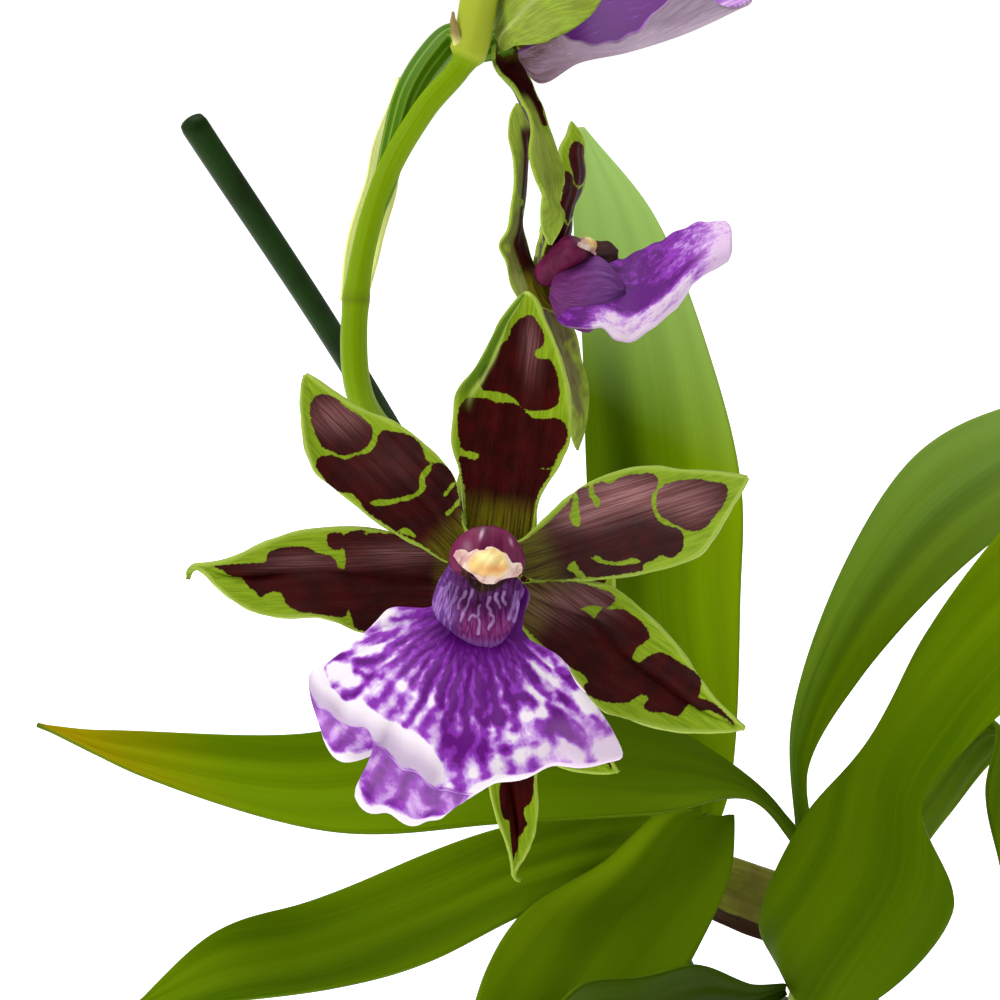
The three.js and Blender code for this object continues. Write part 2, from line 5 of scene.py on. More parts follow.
import bmesh
import bpy
import numpy as np
from bpy.props import FloatProperty, FloatVectorProperty, IntProperty, PointerProperty
from mathutils import Euler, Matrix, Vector


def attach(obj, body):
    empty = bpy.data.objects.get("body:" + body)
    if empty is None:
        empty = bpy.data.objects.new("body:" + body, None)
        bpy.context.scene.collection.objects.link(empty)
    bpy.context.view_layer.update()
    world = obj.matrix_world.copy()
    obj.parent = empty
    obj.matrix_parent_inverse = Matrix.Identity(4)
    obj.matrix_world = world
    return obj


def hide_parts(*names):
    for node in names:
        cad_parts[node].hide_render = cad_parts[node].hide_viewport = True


bl_info = {
    "name": "Potted zygopetalum",
    "version": (1, 0, 0),
    "blender": (4, 5, 0),
    "location": "View3D > Sidebar > Orchid",
    "description": "Builds the leaves, stems, blooms and pot of a staked zygopetalum orchid",
    "category": "Add Mesh",
}

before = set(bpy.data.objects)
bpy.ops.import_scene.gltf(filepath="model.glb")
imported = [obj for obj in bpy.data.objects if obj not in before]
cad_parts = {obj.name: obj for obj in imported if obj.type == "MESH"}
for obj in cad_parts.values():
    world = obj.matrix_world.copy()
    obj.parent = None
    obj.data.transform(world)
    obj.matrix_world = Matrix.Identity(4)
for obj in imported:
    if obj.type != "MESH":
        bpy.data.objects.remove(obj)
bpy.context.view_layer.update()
MM = 0.001


def srgb(red, green, blue):
    """A linear colour from the 0 to 255 values of a colour picker."""
    shares = (value / 255 for value in (red, green, blue))
    return tuple(s / 12.92 if s <= 0.04045 else ((s + 0.055) / 1.055) ** 2.4 for s in shares)


# ------------------------------------------------------------------ curves and surfaces
def smooth_path(points, at, even=False):
    """Points on a smooth curve through the given ones, at shares 0 to 1 of its run."""
    knots = np.asarray(points, float)
    at = np.clip(np.asarray(at, float), 0, 1)
    if even:
        dense = np.linspace(0, 1, 1200)
        steps = np.linalg.norm(np.diff(smooth_path(points, dense), axis=0), axis=1)
        run = np.concatenate([[0], np.cumsum(steps)])
        at = np.interp(at, run / run[-1], dense)
    padded = np.vstack([2 * knots[0] - knots[1], knots, 2 * knots[-1] - knots[-2]])
    span = np.maximum(np.linalg.norm(np.diff(padded, axis=0), axis=1) ** 0.5, 1e-4)
    place = at * (len(knots) - 1)
    first = np.minimum(place.astype(int), len(knots) - 2)
    w = (place - first)[:, None]
    p0, p1, p2, p3 = (padded[first + i] for i in range(4))
    a, b, c = (span[first + i][:, None] for i in range(3))
    leave = ((p1 - p0) / a - (p2 - p0) / (a + b) + (p2 - p1) / b) * b
    arrive = ((p2 - p1) / b - (p3 - p1) / (b + c) + (p3 - p2) / c) * b
    bend = 3 * (p2 - p1) - 2 * leave - arrive
    close = 2 * (p1 - p2) + leave + arrive
    return p1 + leave * w + bend * w**2 + close * w**3


def smoothstep(value, low, high):
    """0 below one value, 1 above the other, and an S-curve between them."""
    share = np.clip((value - low) / (high - low), 0, 1)
    return share * share * (3 - 2 * share)


def bell(value, centre, width):
    """A soft bump of height 1 around a centre."""
    return np.exp(-(((value - centre) / width) ** 2))


def soft_spot(x, y, cx, cy, wide, high):
    """A soft ellipse of height 1, from its centre and half sizes."""
    return np.exp(-(((x - cx) / wide) ** 2) - ((y - cy) / high) ** 2)


def turn_z(degrees):
    c, s = math.cos(math.radians(degrees)), math.sin(math.radians(degrees))
    return np.array([[c, -s, 0], [s, c, 0], [0, 0, 1]])


def turn_x(degrees):
    c, s = math.cos(math.radians(degrees)), math.sin(math.radians(degrees))
    return np.array([[1, 0, 0], [0, c, -s], [0, s, c]])


def rows_surface(rows, s, t):
    """Points on the smooth sheet through rows of points: across the rows by s, along them by t."""
    points = np.empty((len(s), 3))
    for column in np.unique(s):
        here = s == column
        knots = np.vstack([smooth_path(row, [(column + 1) / 2]) for row in rows])
        points[here] = smooth_path(knots, t[here])
    return points


def depth_inside(outline, x, y):
    """How far each point lies inside a closed, rounded outline. Outside is negative."""
    loop = smooth_path(list(outline) + [outline[0]], np.linspace(0, 1, 4 * len(outline) + 1))[:-1]
    ahead = np.roll(loop, -1, axis=0)
    edge = ahead - loop
    dx, dy = x[:, None] - loop[:, 0], y[:, None] - loop[:, 1]
    share = np.clip((dx * edge[:, 0] + dy * edge[:, 1]) / (edge**2).sum(1), 0, 1)
    distance = np.hypot(dx - share * edge[:, 0], dy - share * edge[:, 1]).min(1)
    beside = (loop[:, 1] > y[:, None]) != (ahead[:, 1] > y[:, None])
    height = np.where(edge[:, 1] == 0, 1e-9, edge[:, 1])
    crossing = loop[:, 0] + edge[:, 0] * (y[:, None] - loop[:, 1]) / height
    inside = (beside & (x[:, None] < crossing)).sum(1) % 2 == 1
    return np.where(inside, distance, -distance)


def distance_to(line, x, y):
    """How far each point lies from a rounded, open line."""
    path = smooth_path(line, np.linspace(0, 1, 6 * len(line)))
    step = path[1:] - path[:-1]
    dx, dy = x[:, None] - path[:-1, 0], y[:, None] - path[:-1, 1]
    share = np.clip((dx * step[:, 0] + dy * step[:, 1]) / (step**2).sum(1), 0, 1)
    return np.hypot(dx - share * step[:, 0], dy - share * step[:, 1]).min(1)


# ------------------------------------------------------------------ pieces
def grid_mesh(across, along, place):
    """A grid whose points go where place(s, t) puts them, with s from -1 to 1 and t from 0 to 1."""
    bm = bmesh.new()
    bmesh.ops.create_grid(bm, x_segments=across, y_segments=along, size=1)
    flat = np.array([vertex.co[:2] for vertex in bm.verts])
    s, t = flat[:, 0], (flat[:, 1] + 1) / 2
    layers = [bm.verts.layers.float.new(name) for name in ("s", "t")]
    for vertex, spot, pair in zip(bm.verts, place(s, t) * MM, zip(s, t)):
        vertex.co = spot
        vertex[layers[0]], vertex[layers[1]] = pair
    return bm


def thicken(bm, thickness, turned=False):
    """Gives a sheet its thickness, half to each side, and marks its back."""
    back = bm.verts.layers.float.new("back")
    if turned:
        bmesh.ops.reverse_faces(bm, faces=bm.faces[:])
    bm.normal_update()
    shift = [vertex.normal * (thickness * MM / 2) for vertex in bm.verts]
    for vertex, step in zip(bm.verts, shift):
        vertex.co += step
    count = len(bm.verts)
    bmesh.ops.solidify(bm, geom=bm.faces[:], thickness=thickness * MM)
    for index, vertex in enumerate(bm.verts):
        vertex[back] = 0.0 if index < count else 1.0


def close_tube(bm):
    """Joins the seam of a rolled-up grid and gathers each end into its pole."""
    bmesh.ops.remove_doubles(bm, verts=bm.verts[:], dist=1e-6)
    bmesh.ops.recalc_face_normals(bm, faces=bm.faces[:])


def finish_piece(name, bm, material, nodes=()):
    """Turns a bmesh into a smooth piece that rides on the root and stands for its CAD nodes."""
    mesh = bpy.data.meshes.new(name)
    bm.to_mesh(mesh)
    bm.free()
    mesh.polygons.foreach_set("use_smooth", [True] * len(mesh.polygons))
    mesh.materials.append(material)
    piece = bpy.data.objects.new(name, mesh)
    bpy.context.scene.collection.objects.link(piece)
    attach(piece, "root")
    if nodes:
        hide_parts(*nodes)
    return piece


def sheet_piece(name, fineness, place, thickness, look, nodes=(), turned=False):
    """A curved sheet with its thickness."""
    bm = grid_mesh(*fineness, place)
    thicken(bm, thickness, turned)
    return finish_piece(name, bm, look_for(look), nodes)


def rolled_piece(name, fineness, place, look, nodes=()):
    """A grid that is rolled up into a closed form."""
    bm = grid_mesh(*fineness, place)
    close_tube(bm)
    return finish_piece(name, bm, look_for(look), nodes)


def read_mark(piece, name):
    """A mark's values on a piece's points."""
    values = np.empty(len(piece.data.vertices))
    piece.data.attributes[name].data.foreach_get("value", values)
    return values


def write_marks(piece, **marks):
    """Writes marks on a piece's points, each from an array or from one value for them all."""
    for name, values in marks.items():
        full = np.zeros(len(piece.data.vertices), np.float32) + values
        layer = piece.data.attributes.new(name, "FLOAT", "POINT")
        layer.data.foreach_set("value", full.astype(np.float32))


def tube_place(points, radii, shape=None, even=True):
    """A place function for a stem: a ring of the given radius along a path."""
    def place(s, t):
        shares = np.unique(t)
        path = smooth_path(points, shares, even)
        ahead = smooth_path(points, np.minimum(shares + 1e-3, 1), even)
        behind = smooth_path(points, np.maximum(shares - 1e-3, 0), even)
        run = ahead - behind
        run /= np.linalg.norm(run, axis=1)[:, None]
        side = np.empty_like(run)
        start = np.cross(run[0], (0.3, 1, 0.1))
        for i, tangent in enumerate(run):
            start = start - tangent * start.dot(tangent)
            start = start / np.linalg.norm(start)
            side[i] = start
        other = np.cross(run, side)
        row = np.searchsorted(shares, t)
        angle = np.pi * s
        even_radii = list(zip(np.linspace(0, 1, len(radii)), radii))
        radius = np.interp(t, *zip(*(radii if isinstance(radii[0], tuple) else even_radii)))
        if shape:
            radius = radius * shape(angle, t)
        ring = np.cos(angle)[:, None] * side[row] + np.sin(angle)[:, None] * other[row]
        return path[row] + radius[:, None] * ring
    return place


def round_ends(t, blunt):
    """A factor that closes a tube's ends as domes over the share `blunt` of its run."""
    near = np.minimum(np.minimum(t, 1 - t) / blunt, 1)
    return np.sqrt(np.maximum(1 - (1 - near) ** 2, 0))


# ------------------------------------------------------------------ shader building
class Look:
    """A material whose nodes are added and linked one line at a time."""

    def __init__(self, name, roughness, shine=0.5):
        self.material = bpy.data.materials.new(name)
        self.material.use_nodes = True
        self.tree = self.material.node_tree
        self.shader = self.tree.nodes["Principled BSDF"]
        self.wear(Roughness=roughness, Specular_IOR_Level=shine)

    def plug(self, node, sockets):
        """Links or sets a node's sockets."""
        for key, value in sockets.items():
            if isinstance(value, bpy.types.NodeSocket):
                self.tree.links.new(value, node.inputs[key])
            else:
                node.inputs[key].default_value = value

    def add(self, kind, sockets=None, **settings):
        """A new node with its settings and sockets."""
        node = self.tree.nodes.new("ShaderNode" + kind)
        for key, value in settings.items():
            setattr(node, key, value)
        self.plug(node, sockets or {})
        return node

    def mark(self, name, scale=None):
        """The value that write_marks gave the points, or a multiple of it."""
        value = self.add("Attribute", attribute_name=name).outputs["Fac"]
        return self.math("MULTIPLY", value, scale) if scale else value

    def place(self):
        return self.add("TexCoord").outputs["Object"]

    def flow(self, across, along):
        """A vector from two marks, stretched by two scales."""
        axes = self.mark("across", across), self.mark("out", along), self.mark("grain")
        return self.add("CombineXYZ", dict(enumerate(axes))).outputs[0]

    def math(self, operation, first, second=0.0):
        return self.add("Math", {0: first, 1: second}, operation=operation).outputs[0]

    def noise(self, vector, scale, detail=3.0, roughness=0.5):
        sockets = {"Vector": vector, "Scale": scale, "Detail": detail, "Roughness": roughness}
        return self.add("TexNoise", sockets).outputs[0]

    def step(self, value, low, high, start=0.0, end=1.0):
        """An S-curve from start to end while the value goes from low to high."""
        sockets = {0: value, 1: low, 2: high, 3: start, 4: end}
        return self.add("MapRange", sockets, interpolation_type="SMOOTHSTEP").outputs[0]

    def sway(self, value, amount):
        """A noise that swings to both sides of zero."""
        return self.math("MULTIPLY", self.math("SUBTRACT", value, 0.5), amount)

    def mix(self, share, first, second):
        """Two colours mixed by a share, or by the step that a tuple describes."""
        share = self.step(*share) if isinstance(share, tuple) else share
        ends = [(*c, 1.0) if isinstance(c, tuple) and len(c) == 3 else c for c in (first, second)]
        return self.add("Mix", {0: share, 6: ends[0], 7: ends[1]}, data_type="RGBA").outputs[2]

    def coat(self, base, **tones):
        """A colour with a tone laid over it wherever the mark of the tone's name lies."""
        for mark, tone in tones.items():
            base = self.mix(self.mark(mark), base, tone)
        return base

    def bump(self, height, distance, strength=1.0):
        sockets = {"Height": height, "Distance": distance * MM, "Strength": strength}
        return self.add("Bump", sockets).outputs[0]

    def wear(self, **sockets):
        """Sets the material's own sockets, and gives the material."""
        self.plug(self.shader, {key.replace("_", " "): value for key, value in sockets.items()})
        return self.material


# ------------------------------------------------------------------ sizes and colours
def size_prop(name, default, description):
    return FloatProperty(name=name, default=default, min=0, unit="LENGTH", description=description)


def colour_prop(name, default, description):
    return FloatVectorProperty(
        name=name, default=default, size=3, min=0, max=1, subtype="COLOR", description=description
    )


class OrchidSizes(bpy.types.PropertyGroup):
    leaf_thickness: size_prop("Leaf thickness", 1.0 * MM, "How thick the leaves are")
    tepal_thickness: size_prop("Tepal thickness", 0.7 * MM, "How thick sepals and petals are")
    lip_thickness: size_prop("Lip thickness", 0.7 * MM, "How thick the lip is")
    stake_radius: size_prop("Stake radius", 2.4 * MM, "Half the stake's thickness")
    chip_size: size_prop("Bark chip", 9 * MM, "The length of a bark chip")
    chip_count: IntProperty(
        name="Bark chips", default=230, min=0, description="How many chips lie on top"
    )


class OrchidColours(bpy.types.PropertyGroup):
    leaf: colour_prop("Leaf", srgb(100, 128, 2), "The leaves' main green")
    leaf_dark: colour_prop("Leaf shade", srgb(64, 94, 0), "The leaves' deep green")
    tepal: colour_prop("Tepal green", srgb(146, 174, 32), "The green of sepals and petals")
    blotch: colour_prop("Blotch", srgb(64, 4, 3), "The maroon blotches")
    lip: colour_prop("Lip violet", srgb(94, 0, 118), "The lip's violet streaks")
    lip_pale: colour_prop("Lip white", srgb(236, 226, 233), "The lip's margin")
    column: colour_prop("Column", srgb(112, 26, 72), "The plum column")
    anther: colour_prop("Anther cap", srgb(240, 212, 138), "The cream anther cap")
    stem: colour_prop("Spike", srgb(124, 156, 0), "The flower spike")
    stake: colour_prop("Stake", srgb(16, 36, 2), "The painted stake")
    pot: colour_prop("Pot", srgb(44, 47, 45), "The plain pot")
    bark: colour_prop("Bark", srgb(104, 66, 38), "The bark chips")


def sizes():
    return bpy.context.scene.orchid_sizes


def colours():
    return bpy.context.scene.orchid_colours


def colour(name):
    return tuple(getattr(colours(), name))


# ------------------------------------------------------------------ the flower's drawing sheet
# Tepals and their markings are drawn on one sheet, with y downwards. Its unit is a twentieth
# of a millimetre, and the flower's axis passes through its centre.
SHEET_CENTRE = np.array([845, 791])
SHEET_UNIT = 0.05
BASE_RADIUS = 2.4

TEPALS = {
    "dorsal_sepal": {
        "olive": (5, 11.5), "angle": 82, "layer": -1.15, "arch": 2.0, "cup": 1.3, "keel": 0.5,
        "keel_at": 0.05, "curl": (1.5, 0.7), "tip": 1.3,
        "left": [(778, 700), (765, 640), (760, 570), (748, 520), (735, 480), (733, 440), (738, 390),
                 (746, 335), (780, 290), (815, 240), (840, 190), (870, 135), (905, 90), (932, 60)],
        "right": [(960, 700), (965, 650), (975, 610), (1000, 570), (1030, 520), (1052, 470), (1058, 420),
                  (1055, 360), (1048, 310), (1030, 240), (1010, 185), (985, 130), (965, 85), (942, 60)],
        "blotches": [
            [(935, 118), (955, 120), (975, 150), (988, 182), (982, 202), (965, 215), (962, 232),
             (978, 238), (1000, 241), (1018, 262), (1027, 300), (1029, 340), (1020, 365), (1000, 375),
             (960, 378), (930, 372), (915, 358), (900, 342), (880, 332), (850, 326), (820, 322),
             (806, 306), (805, 282), (815, 262), (835, 245), (850, 225), (865, 200), (885, 185),
             (893, 160), (905, 140), (920, 126)],
            [(762, 350), (775, 342), (800, 343), (830, 345), (855, 355), (890, 355), (915, 362),
             (935, 378), (950, 394), (980, 401), (1010, 398), (1035, 404), (1048, 425), (1047, 455),
             (1035, 482), (1024, 502), (1012, 530), (990, 572), (968, 612), (958, 655), (950, 700),
             (900, 800), (790, 800), (776, 690), (770, 640), (766, 590), (757, 535), (750, 500),
             (753, 470), (747, 432), (748, 390), (755, 362)],
        ],
        "gaps": [
            [(735, 473), (752, 476), (770, 487), (792, 489), (808, 497), (806, 507), (790, 510),
             (770, 503), (750, 500), (735, 498)],
            [(955, 536), (1000, 534), (1024, 528), (1022, 536), (1000, 538)],
        ],
    },
    "petal_left": {
        "olive": (5, 11), "angle": 134.5, "layer": 0.0, "arch": 2.0, "cup": 1.0, "keel": 0.35,
        "keel_at": 0.0, "curl": (0.5, 0.8), "tip": 0.6,
        "left": [(720, 790), (690, 775), (650, 750), (610, 730), (560, 700), (510, 665), (460, 625),
                 (410, 585), (370, 550), (355, 520), (340, 470), (333, 420), (328, 360), (333, 310),
                 (340, 286)],
        "right": [(775, 700), (762, 650), (755, 600), (735, 550), (700, 505), (660, 470), (620, 438),
                  (580, 412), (530, 392), (480, 370), (440, 345), (410, 325), (375, 300), (346, 283)],
        "blotches": [
            [(380, 335), (410, 338), (430, 348), (450, 368), (480, 385), (500, 400), (518, 417),
             (522, 440), (515, 465), (495, 485), (465, 498), (440, 503), (410, 492), (385, 480),
             (370, 455), (358, 420), (352, 380), (358, 350)],
            [(372, 512), (385, 503), (410, 502), (440, 511), (460, 509), (490, 498), (515, 490),
             (530, 470), (537, 445), (555, 433), (590, 435), (620, 445), (645, 462), (660, 487),
             (668, 512), (690, 520), (708, 521), (730, 542), (745, 575), (757, 612), (762, 650),
             (766, 700), (800, 770), (760, 800), (700, 775), (650, 742), (585, 708), (540, 680),
             (500, 650), (470, 612), (430, 598), (400, 578), (382, 555), (368, 532)],
        ],
        "gaps": [
            [(512, 630), (530, 622), (560, 620), (600, 614), (636, 602), (647, 588), (645, 570),
             (654, 545), (668, 530), (684, 519), (676, 545), (662, 565), (664, 587), (652, 603),
             (620, 621), (585, 629), (560, 636), (530, 637)],
            [(590, 705), (610, 698), (630, 710), (638, 722), (610, 716)],
            [(710, 605), (725, 590), (738, 575), (743, 583), (728, 598), (716, 612)],
            [(715, 655), (735, 640), (755, 620), (758, 630), (738, 650), (724, 664)],
        ],
    },
    "petal_right": {
        "olive": (4, 12), "angle": 17.6, "layer": 0.0, "arch": 2.0, "cup": 1.0, "keel": 0.3,
        "keel_at": 0.1, "curl": (0.6, 0.6), "tip": 0.5,
        "left": [(925, 725), (965, 690), (1000, 655), (1040, 620), (1080, 590), (1130, 562), (1180, 545),
                 (1230, 534), (1280, 532), (1330, 538), (1380, 542), (1440, 545), (1490, 552),
                 (1529, 560)],
        "right": [(950, 834), (1000, 836), (1050, 839), (1110, 839), (1170, 832), (1230, 825),
                  (1290, 812), (1350, 795), (1400, 770), (1430, 735), (1460, 690), (1490, 640),
                  (1513, 602), (1531, 565)],
        "blotches": [
            [(1310, 577), (1345, 567), (1390, 565), (1430, 570), (1465, 576), (1479, 596), (1475, 620),
             (1455, 652), (1430, 685), (1405, 703), (1375, 706), (1345, 695), (1325, 682), (1302, 668),
             (1290, 650), (1286, 620), (1292, 595)],
            [(870, 790), (900, 750), (945, 722), (975, 700), (1010, 664), (1045, 630), (1062, 604),
             (1080, 592), (1110, 583), (1140, 572), (1160, 576), (1180, 565), (1210, 552), (1240, 548),
             (1276, 548), (1290, 565), (1286, 590), (1275, 612), (1276, 640), (1285, 665), (1303, 686),
             (1330, 696), (1352, 706), (1361, 730), (1352, 760), (1327, 781), (1300, 771), (1277, 785),
             (1252, 797), (1250, 812), (1200, 824), (1130, 831), (1100, 830), (1030, 838), (920, 840)],
        ],
        "gaps": [
            [(1064, 600), (1072, 603), (1078, 640), (1080, 690), (1068, 692), (1052, 668), (1058, 645)],
            [(1108, 578), (1116, 582), (1120, 605), (1134, 620), (1130, 644), (1118, 630), (1106, 606)],
            [(1112, 778), (1128, 772), (1150, 784), (1185, 790), (1225, 780), (1246, 787), (1220, 795),
             (1180, 799), (1150, 795), (1128, 788)],
            [(1056, 792), (1068, 788), (1078, 806), (1094, 828), (1078, 832), (1060, 815), (1048, 808)],
        ],
    },
    "lateral_sepal_left": {
        "olive": (5, 10), "angle": 181.6, "layer": -1.15, "arch": 1.0, "cup": 0.9, "keel": 1.1,
        "keel_at": 0.1, "curl": (0.5, 0.6), "tip": 0.3,
        "left": [(810, 850), (740, 905), (650, 965), (590, 990), (540, 987), (515, 985), (470, 975),
                 (420, 951), (375, 938), (340, 938), (290, 940), (240, 935), (190, 920), (140, 890),
                 (100, 855), (70, 822), (46, 806), (34, 811), (26, 823), (22, 836)],
        "right": [(720, 792), (690, 765), (640, 735), (590, 712), (550, 703), (490, 695), (430, 693),
                  (370, 698), (310, 708), (250, 728), (200, 750), (130, 780), (62, 794), (38, 797),
                  (25, 806), (18, 821), (18, 835)],
        "blotches": [
            [(85, 797), (140, 793), (190, 790), (228, 787), (236, 765), (262, 750), (300, 745),
             (345, 748), (365, 762), (398, 768), (421, 781), (426, 802), (442, 801), (446, 780),
             (442, 757), (440, 735), (446, 712), (480, 699), (500, 702), (497, 715), (515, 709),
             (555, 710), (590, 716), (620, 735), (660, 750), (692, 774), (760, 800), (800, 850),
             (700, 930), (640, 972), (560, 986), (520, 983), (472, 968), (462, 940), (454, 917),
             (444, 940), (400, 937), (360, 930), (322, 924), (286, 905), (281, 886), (262, 872),
             (237, 876), (215, 885), (200, 868), (175, 849), (145, 825), (110, 808)],
            [(394, 730), (398, 713), (415, 706), (434, 708), (445, 722), (446, 740), (434, 755),
             (416, 758), (402, 748)],
        ],
        "gaps": [],
    },
    "lateral_sepal_right": {
        "olive": (6, 14), "angle": -32.9, "layer": -1.15, "arch": 1.0, "cup": 0.9, "keel": 0.9,
        "keel_at": -0.1, "curl": (0.7, 0.5), "tip": 0.4,
        "left": [(925, 842), (960, 838), (1010, 835), (1080, 838), (1130, 845), (1160, 850), (1185, 865),
                 (1230, 900), (1290, 955), (1340, 1010), (1390, 1080), (1440, 1150), (1490, 1200),
                 (1526, 1234)],
        "right": [(860, 860), (900, 935), (960, 1010), (1010, 1045), (1045, 1062), (1060, 1090),
                  (1090, 1130), (1120, 1170), (1150, 1195), (1200, 1210), (1250, 1225), (1310, 1240),
                  (1370, 1247), (1430, 1249), (1490, 1246), (1524, 1239)],
        "blotches": [
            [(880, 850), (960, 845), (1020, 841), (1080, 844), (1130, 855), (1167, 870), (1181, 888),
             (1168, 905), (1150, 915), (1200, 918), (1236, 940), (1261, 965), (1273, 990), (1256, 1006),
             (1236, 1022), (1227, 1048), (1245, 1056), (1270, 1040), (1300, 1033), (1340, 1051),
             (1381, 1075), (1406, 1100), (1409, 1128), (1402, 1152), (1440, 1166), (1470, 1190),
             (1500, 1226), (1478, 1211), (1450, 1195), (1420, 1185), (1401, 1196), (1395, 1176),
             (1371, 1180), (1345, 1206), (1310, 1196), (1272, 1196), (1252, 1180), (1265, 1157),
             (1249, 1146), (1216, 1166), (1180, 1172), (1150, 1168), (1110, 1152), (1086, 1126),
             (1101, 1114), (1085, 1090), (1064, 1080), (1000, 1030), (900, 930)],
        ],
        "gaps": [[(1085, 914), (1110, 907), (1146, 911), (1132, 925), (1124, 939), (1110, 925)]],
    },
}

# The lip, row by row from its claw under the column to the hem that rolls under its rim, in
# millimetres from the flower's axis. Each row runs from the flower's left to its right.
LIP_ROWS = [
    [(x, -2.4, 1.2) for x in (-1.8, -1.4, -1.1, -0.7, -0.4, 0, 0.4, 0.7, 1.1, 1.4, 1.8)],
    [(-5.7, -2.1, 5), (-5.3, -2.9, 4.6), (-4.6, -3.6, 4.3), (-3.9, -4.1, 4), (-2.9, -4.5, 3.8),
     (-1.7, -4.7, 3.7), (-0.4, -4.7, 3.7), (0.9, -4.7, 3.8), (2.3, -4.4, 4), (3.6, -4.1, 4.5),
     (4.8, -3.7, 5)],
    [(-7.9, -5.8, 7), (-7.1, -7.2, 7.6), (-6.3, -8.2, 8), (-5.3, -9.1, 8.5), (-4.2, -9.9, 9),
     (-2.9, -10.4, 9.3), (-1.4, -10.8, 9.5), (0.3, -10.9, 9.5), (1.8, -10.5, 9), (3.1, -9.9, 8.2),
     (3.9, -9.2, 7.4)],
    [(-13.2, -6.1, 8), (-16.2, -11, 10), (-14.4, -12.2, 12), (-12.1, -13.1, 13.5), (-9.1, -14.2, 14.5),
     (-6.1, -15.4, 15), (-3.2, -16.4, 15), (1.3, -17, 14.5), (5.3, -16.8, 13.5), (9.3, -17, 11.5),
     (8.6, -12.3, 9.5)],
    [(-15.5, -8.9, 7), (-21.4, -14, 10), (-18.6, -15.4, 12), (-15, -16.2, 14.5), (-11.2, -17.5, 17),
     (-7.5, -20.2, 18.5), (-4.7, -22.6, 19), (1.9, -23.4, 18.5), (8.1, -22.3, 17), (14, -21.7, 13),
     (10.6, -15.8, 9.5)],
    [(-17.1, -10.3, 6), (-23.5, -15.3, 9), (-21.1, -17.6, 11), (-16.3, -20.9, 13), (-13, -22, 15.5),
     (-8.1, -25.6, 17.5), (-4.4, -27.6, 18), (1.9, -26.6, 18), (8.8, -25.1, 16), (16.3, -24.6, 12),
     (12.1, -17.3, 9)],
    [(-18.3, -12.2, 4.5), (-22.6, -19.1, 6.5), (-19, -26, 8), (-11.8, -22, 10.5), (-17.4, -30, 12),
     (-12.5, -32, 14), (-7.3, -32.4, 15), (-3.4, -27.2, 14.5), (7.7, -24.5, 13), (14.9, -23.9, 10),
     (11.4, -17, 8)],
]
LIP_HINGE = np.array([0, -8, 6])

# The lip's markings are drawn as they look from the front, with y downwards. Each spot is a
# soft ellipse: its centre, half length and half width, the turn of its length, and how much
# violet it adds. A negative spot leaves the lip white.
LIP_CENTRE, LIP_UNIT, LIP_VIEW = np.array([888, -125]), 0.02934, 230
LIP_FAN = (800, 40)
LIP_DENSE = [
    (560, 90), (640, 40), (940, 40), (1000, 180), (1080, 240), (1140, 290), (1100, 340), (1050, 380),
    (1030, 440), (1060, 500), (1000, 530), (960, 590), (930, 640), (850, 660), (845, 730), (760, 790),
    (690, 800), (675, 720), (650, 650), (600, 590), (560, 520), (510, 450), (440, 400), (370, 370),
    (400, 300), (450, 230), (500, 150),
]
LIP_SPOTS = [
    (215, 392, 70, 36, 30, -1.9), (395, 140, 55, 24, 112, -1.1), (490, 180, 45, 13, -35, -0.8),
    (335, 268, 66, 24, -10, -1.3), (225, 272, 80, 22, -22, -1.3), (430, 322, 60, 12, -25, -1.0),
    (385, 380, 55, 20, -35, -0.9), (602, 330, 36, 11, -58, -0.7), (552, 362, 44, 10, -55, -0.5),
    (470, 440, 48, 22, 50, -1.2), (522, 482, 28, 16, 30, -0.9), (612, 515, 48, 17, 80, -1.1),
    (590, 440, 30, 9, 60, -0.4), (1085, 362, 52, 15, 52, -1.1), (1152, 318, 40, 14, 62, -1.1),
    (1168, 430, 74, 22, 55, -1.4), (1062, 470, 42, 17, 30, -1.0), (1112, 505, 55, 16, 30, -0.9),
    (1070, 582, 84, 26, -12, -1.5), (862, 580, 40, 12, -50, -0.7), (905, 640, 60, 11, -8, -0.8),
    (1022, 668, 64, 28, 0, -0.8), (940, 705, 70, 24, 0, -0.5), (1302, 518, 64, 36, 60, -1.5),
    (1365, 640, 90, 28, 52, -0.7), (1250, 742, 120, 34, 8, -1.5), (1430, 740, 50, 70, 0, -1.5),
    (1065, 735, 70, 28, -10, -0.9), (950, 775, 90, 24, -12, -0.6), (1180, 690, 66, 22, -5, -0.5),
    (800, 830, 70, 18, -15, -0.5), (1228, 330, 40, 12, 75, -0.8), (985, 300, 40, 8, 62, -0.5),
    (870, 330, 60, 7, 86, -0.5), (760, 420, 90, 6, 96, -0.35), (930, 380, 60, 7, 74, -0.4),
    (655, 400, 60, 7, 112, -0.4), (190, 310, 60, 14, -18, 1.1), (300, 332, 56, 15, 2, 1.2),
    (325, 231, 58, 11, -22, 1.0), (285, 386, 48, 12, 24, 0.9), (392, 415, 32, 15, 30, 0.6),
    (278, 470, 54, 18, -32, 0.55), (1082, 412, 52, 24, 52, 1.0), (1208, 502, 50, 26, 46, 1.0),
    (1250, 440, 62, 17, 50, 1.0), (1150, 372, 46, 13, 52, 0.9), (912, 592, 50, 26, -5, 1.1),
    (1000, 500, 84, 17, -6, 0.8), (1180, 592, 64, 22, 50, 0.75), (1358, 598, 56, 12, 44, 0.75),
    (1190, 645, 66, 17, 42, 0.6), (1170, 640, 170, 90, 10, 0.42), (880, 730, 130, 50, 0, 0.3),
    (745, 705, 70, 40, 0, 0.5), (1290, 640, 60, 13, 48, 0.6), (1010, 720, 56, 14, -8, 0.4),
]

